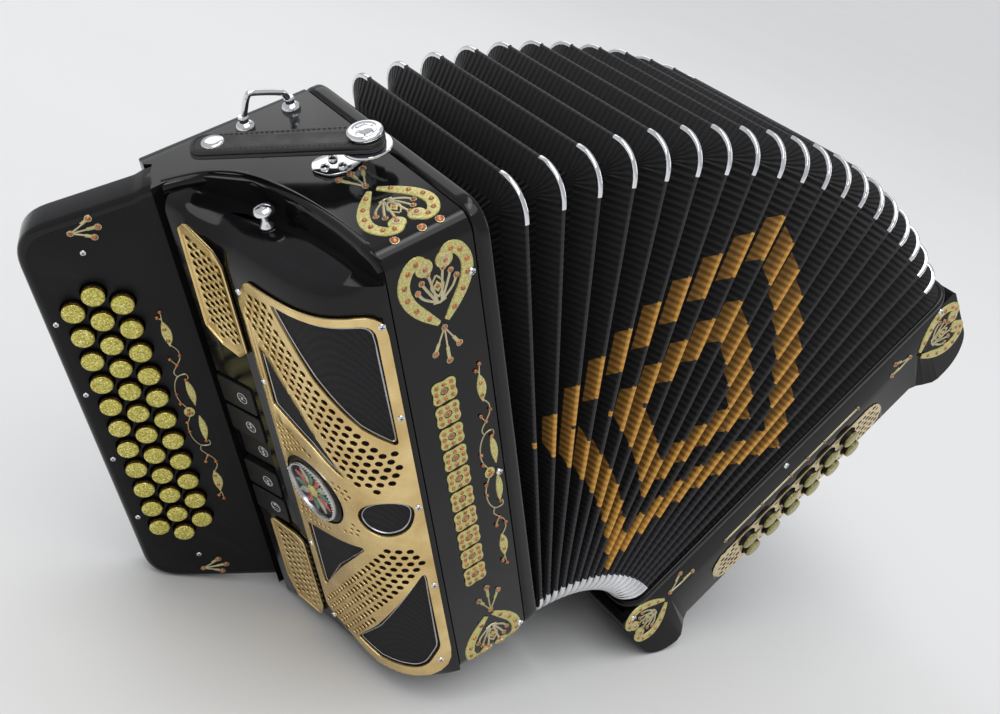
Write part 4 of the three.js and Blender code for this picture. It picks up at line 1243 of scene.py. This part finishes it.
def rolled_skin(columns, look, name, sharp=35):
    """A ring-shaped skin from columns of (matrix, path, x, lattice position); it is closed round the ring."""
    count = len(OUTER_RING)
    points = [matrix @ Vector((x, p.x, p.y)) for matrix, path, x, _ in columns for p in path]
    depths = [RIDGE_HIGH - max(p.y for p in path) for _, path, _, _ in columns]
    faces, lattice, ribs = [], [], []
    for column in range(len(columns) - 1):
        for i in range(count):
            j = (i + 1) % count
            ends = ((column, i), (column, j), (column + 1, j), (column + 1, i))
            faces.append([c * count + n for c, n in ends])
            for c, n in ends:
                p = columns[c][1][n]
                lattice.append((columns[c][3], p.y))
                travel = RING_TRAVEL[n] if n or i == 0 else RING_TRAVEL[-1] + 1
                ribs.append((depths[c] if p.x < CASE_DEPTH / 2 else -1 - depths[c], travel))
    mesh = bpy.data.meshes.new(name)
    mesh.from_pydata(points, [], faces)
    mesh.materials.append(look)
    for layer_name, values in (("lattice", lattice), ("ribs", ribs)):
        layer = mesh.uv_layers.new(name=layer_name)
        layer.data.foreach_set("uv", [value for pair in values for value in pair])
    shade(mesh, sharp)
    piece = linked(name, mesh)
    return piece


VALLEY_DEPTH, VALLEY_CORNER, VALLEY_HALF = 21.0, 3.5, 0.25
RIDGE_INSET, RIDGE_HALF = 0.7, 1.0
WALL_SHARES, WALL_SAG = (0.3, 0.65), 0.45  # the stations on a fold's wall, and how far it sags there
CLOTH_FROM, CLOTH_TO = 1.5, 1.7  # where the cloth leaves the two bellows frames
TAPE_SECTION = [(-1.25, 4.6), (-1.2, 1.0), (-0.75, 0.2), (0.0, 0.0), (0.75, 0.2), (1.2, 1.0), (1.25, 4.6)]
CORNER_LEG = 2.6  # how far a corner's metal runs on along the straight
CORNER_SECTION = [(-1.45, -2.6), (-1.4, -0.2), (-0.85, 0.28), (0, 0.4), (0.85, 0.28), (1.4, -0.2),
                  (1.45, -2.6), (1.2, -2.6), (1.15, -0.4), (0, 0.05), (-1.15, -0.4), (-1.2, -2.6)]


def body_of(k):
    return "treble_side" if k == 0 else "bass_side" if k == PLEATS else f"fold_{k:02d}"


def wall(share):
    """A fold's outline, that share of the way down from its ridge to the valley."""
    inset = RIDGE_INSET + (VALLEY_DEPTH - RIDGE_INSET) * share
    return ring_path(inset, max(FOLD_CORNER - inset, VALLEY_CORNER))


def half_pleat(ridge, side, ridge_x):
    """The columns on one side of a ridge, from its edge down towards the valley."""
    columns = [(pleat_frame(ridge), wall(0), side * ridge_x, ridge)]
    for share in WALL_SHARES:
        place = ridge + side * 0.5 * share
        columns.append((pleat_frame(place), wall(share), side * (ridge_x * (1 - share) - WALL_SAG), place))
    return columns


for k in range(PLEATS):
    near, far, middle = pleat_frame(k), pleat_frame(k + 1), pleat_frame(k + 0.5)
    falling = half_pleat(k, 1, CLOTH_FROM if k == 0 else RIDGE_HALF)
    valley = [(middle, wall(1), -VALLEY_HALF, k + 0.49), (middle, wall(1), VALLEY_HALF, k + 0.51)]
    rising = half_pleat(k + 1, -1, CLOTH_TO if k == PLEATS - 1 else RIDGE_HALF)
    pleat = rolled_skin(falling + valley + rising[::-1], CLOTH, f"bellows_pleat_{k + 1:02d}")
    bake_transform(pleat)


def corner_ring(y_end, r_end, step):
    """The metal's section at one of its 14 stations, from one leg round the corner to the other."""
    y_sign, r_sign = (-1 if y_end else 1), (-1 if r_end else 1)
    angle = math.radians(min(max(step, 0), 11) / 11 * 90)
    out = Vector((-y_sign * math.cos(angle), -r_sign * math.sin(angle)))
    corner = Vector((RIDGE_Y[y_end], (RIDGE_LOW, RIDGE_HIGH)[r_end]))
    base = corner + Vector((y_sign, r_sign)) * FOLD_CORNER + out * FOLD_CORNER
    base += Vector((y_sign * CORNER_LEG * max(step - 11, 0), r_sign * CORNER_LEG * max(-step, 0)))
    return [(x, *(base + out * height)) for x, height in CORNER_SECTION]


for k in range(1, PLEATS):
    here = pleat_frame(k)
    columns = [(here, ring_path(inset, FOLD_CORNER - inset), x, k) for x, inset in TAPE_SECTION]
    tape = rolled_skin(columns, TAPE, f"bellows_ridge_{k:02d}", 60)
    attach(tape, body_of(k))
    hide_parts(f"bellows_fold_{k:02d}")

    caps = Build()
    for y_end, r_end in ((0, 0), (0, 1), (1, 1), (1, 0)):
        caps.loops([corner_ring(y_end, r_end, step) for step in range(-1, 13)], CHROME, flat(here))
    caps.make(f"bellows_caps_{k:02d}", body_of(k), sharp=50)

# ---------- bass side ----------
LACE_A, LACE_B = 32.5, BASS_MIDDLE  # the lace's middle
GRID_START, GRID_PITCH_A, GRID_PITCH_B = 16.4, 5.3, 5.1
lace_outline = []
for a, b in rounded([(LACE_A, 144), (13.5, 147), (13.5, 317), (LACE_A, 320), (51.5, 317), (51.5, 147)],
                    [6, 17, 17, 6, 17, 17], 14):
    wobble = 0.8 * math.sin(b * 1.1 + a * 0.9)
    lace_outline.append((a + (wobble if a > LACE_A else -wobble), b))
# The small holes keep inside the outline, drawn in towards its middle.
lace_field = [(LACE_A + (a - LACE_A) * 0.84, LACE_B + (b - LACE_B) * 0.965) for a, b in lace_outline]
lace_holes = [circle(u, r, 8.4, 32) for u, r in BASS_BUTTONS]
for low, high in ((146, 170.5), (293.5, 318)):
    for i in range(7):
        for j in range(6):
            a = GRID_START + i * GRID_PITCH_A
            b = low + 1.8 + j * GRID_PITCH_B + 2.5 * (i % 2)
            if b < high and inside((a, b), lace_field):
                lace_holes.append(circle(a, b, 2.15 if (i + j) % 3 else 1.6, 8, 0.5 * i + j))
for i in range(1, 6):
    for a, radius in ((17, 1.6), (33, 2.3), (49, 1.2)):
        lace_holes.append(circle(a, LACE_B + (3 - i) * BASS_PITCH, radius, 10))
lace = Build()
lace.plate(lace_outline, lace_holes, 0.35, 0.95, LACE, ON_SLOPE, 0.12)
lace.make("bass_lace_plate", "bass_side", ("bass_button_plate",), 45)

BASS_CAP = [(7.0, 4.2), (7.1, 4.8), (6.8, 5.4), (6.0, 5.75), (4.6, 5.95), (2.6, 6.08), (AXIS, 6.1)]
BASS_SHAFT = [(7.05, -8.8), (7.05, 4.1), (6.9, 4.4), (AXIS, 4.45)]
for number, place in enumerate(BASS_BUTTONS, 1):
    button = Build()
    button.lathe(BASS_CAP, OLIVE, ON_SLOPE, place, 36)
    button.lathe(BASS_SHAFT, SATIN, ON_SLOPE, place, 36)
    button.make(f"bass_button_cap_{number:02d}", f"bass_key_{number:02d}", (f"bass_button_{number:02d}",), 50)

bass_front = Build()
heart(bass_front, tilted(ON_BASS, 33, 360.5, 0, 1.15, 0.87))
heart(bass_front, tilted(ON_BASS, 24, 104, math.pi, 1.0, 0.78))
sprig(bass_front, ON_BASS, [(17.5, 338.5), (25.5, 333)], (25, 352))
sprig(bass_front, ON_BASS, [(11.5, 123.5), (21.5, 131.5)], (20.5, 110))
for r in (298, 263.5, 246.5, 229.5, 200, 163.5):
    collared_stone(bass_front, ON_BASS, 24.2, r, 1.0)
for a, width, height in ((23.6, 0.45, 0.5), (24.9, 0.3, 0.4)):
    bass_front.ribbon([(a, 163.5 + i * 6.725) for i in range(21)], width, height, STEM, ON_BASS)
for r in (386.5, 229, 79):
    screw(bass_front, ON_BASS, 8, r, 2.3, 2.4)
bass_front.make("bass_front_ornaments", "bass_side", sharp=50)

ON_BASS_OUTER = flat(BASS @ Matrix.Translation((BASS_OUTER, 0, 0)) @ Matrix.Rotation(math.pi / 2, 4, "Y")
                     @ spin(math.pi / 2))
AIR_PROFILE = [(7.5, -10.8), (7.5, 5.6), (7.1, 6.8), (6, 7.7), (4.6, 8.0), (3.6, 7.6), (AXIS, 7.4)]
air = Build()
air.lathe(AIR_PROFILE, CHROME, ON_BASS_OUTER, AIR_BUTTON, 36)
air.make("air_button_finish", "air_valve", ("air_button",), 45)

fittings = Build()
for r in (88, 380):
    for y in (112, 134):
        screw(fittings, ON_BASS_OUTER, y, r, 2.6, 1.4, 0)
fittings.make("hand_strap_screws", "bass_side", sharp=50)

# ---------- studio ----------
FLOOR_HALF = 40
floor_mesh = bpy.data.meshes.new("studio_floor")
floor_mesh.from_pydata([(x * FLOOR_HALF, y * FLOOR_HALF, 0) for x, y in ((-1, -1), (1, -1), (1, 1), (-1, 1))],
                       [], [(0, 1, 2, 3)])
floor_mesh.materials.append(studio_floor())
floor_piece = linked("studio_floor", floor_mesh)

world = bpy.data.worlds.new("studio")
bpy.context.scene.world = world
world.use_nodes = True
background = world.node_tree.nodes["Background"]
background.inputs["Color"].default_value = (0.80, 0.81, 0.83, 1)
background.inputs["Strength"].default_value = 0.66


def lamp(name, kind, power, place, aim):
    """A light that shines along a direction; its own settings follow."""
    data = bpy.data.lights.new(name, kind)
    data.energy = power
    holder = linked(name, data)
    holder.location = place
    holder.rotation_euler = aim.to_track_quat("-Z", "Y").to_euler()
    return data


def softbox(name, place, target, size, power):
    """A rectangular light that faces a target."""
    panel = lamp(name, "AREA", power, place, Vector(target) - Vector(place))
    panel.shape = "RECTANGLE"
    panel.size, panel.size_y = size


softbox("overhead", (-0.3, 0.2, 2.4), (0, 0, 0.15), (1.8, 0.35), 6)
softbox("key", (-1.7, -1.5, 1.9), (0, 0, 0.2), (0.6, 0.4), 5)
softbox("side", (2.1, -0.9, 1.2), (0, 0, 0.2), (0.25, 1.2), 3)
softbox("rear", (0.35, 2.1, 1.95), (0.05, 0, 0.35), (2.2, 1.3), 8.5)
sky = lamp("sky_panel", "SUN", 1.15, (0, 0, 0), Vector((0.35, 0.25, -1)))
sky.angle = math.radians(50)

# ---------- camera: its place and axes in the instrument's frame ----------
CAMERA_PLACE = (-249.226, -432.319, 670.416)
CAMERA_RIGHT = (0.81194, -0.57619, -0.09359)
CAMERA_UP = (0.44152, 0.50131, 0.74414)
camera_data = bpy.data.cameras.new("camera")
camera_data.sensor_width = 36
camera_data.lens = 46.77
camera_data.clip_end = 200
camera = linked("camera", camera_data)
turn = Matrix.Rotation(-LEAN, 3, "Y")
right, up = turn @ Vector(CAMERA_RIGHT), turn @ Vector(CAMERA_UP)
look = Matrix((right, up, right.cross(up))).transposed().to_4x4()
camera.matrix_world = Matrix.Translation(TREBLE @ Vector(CAMERA_PLACE)) @ look
bpy.context.scene.camera = camera
bpy.context.scene.view_settings.view_transform = "Standard"
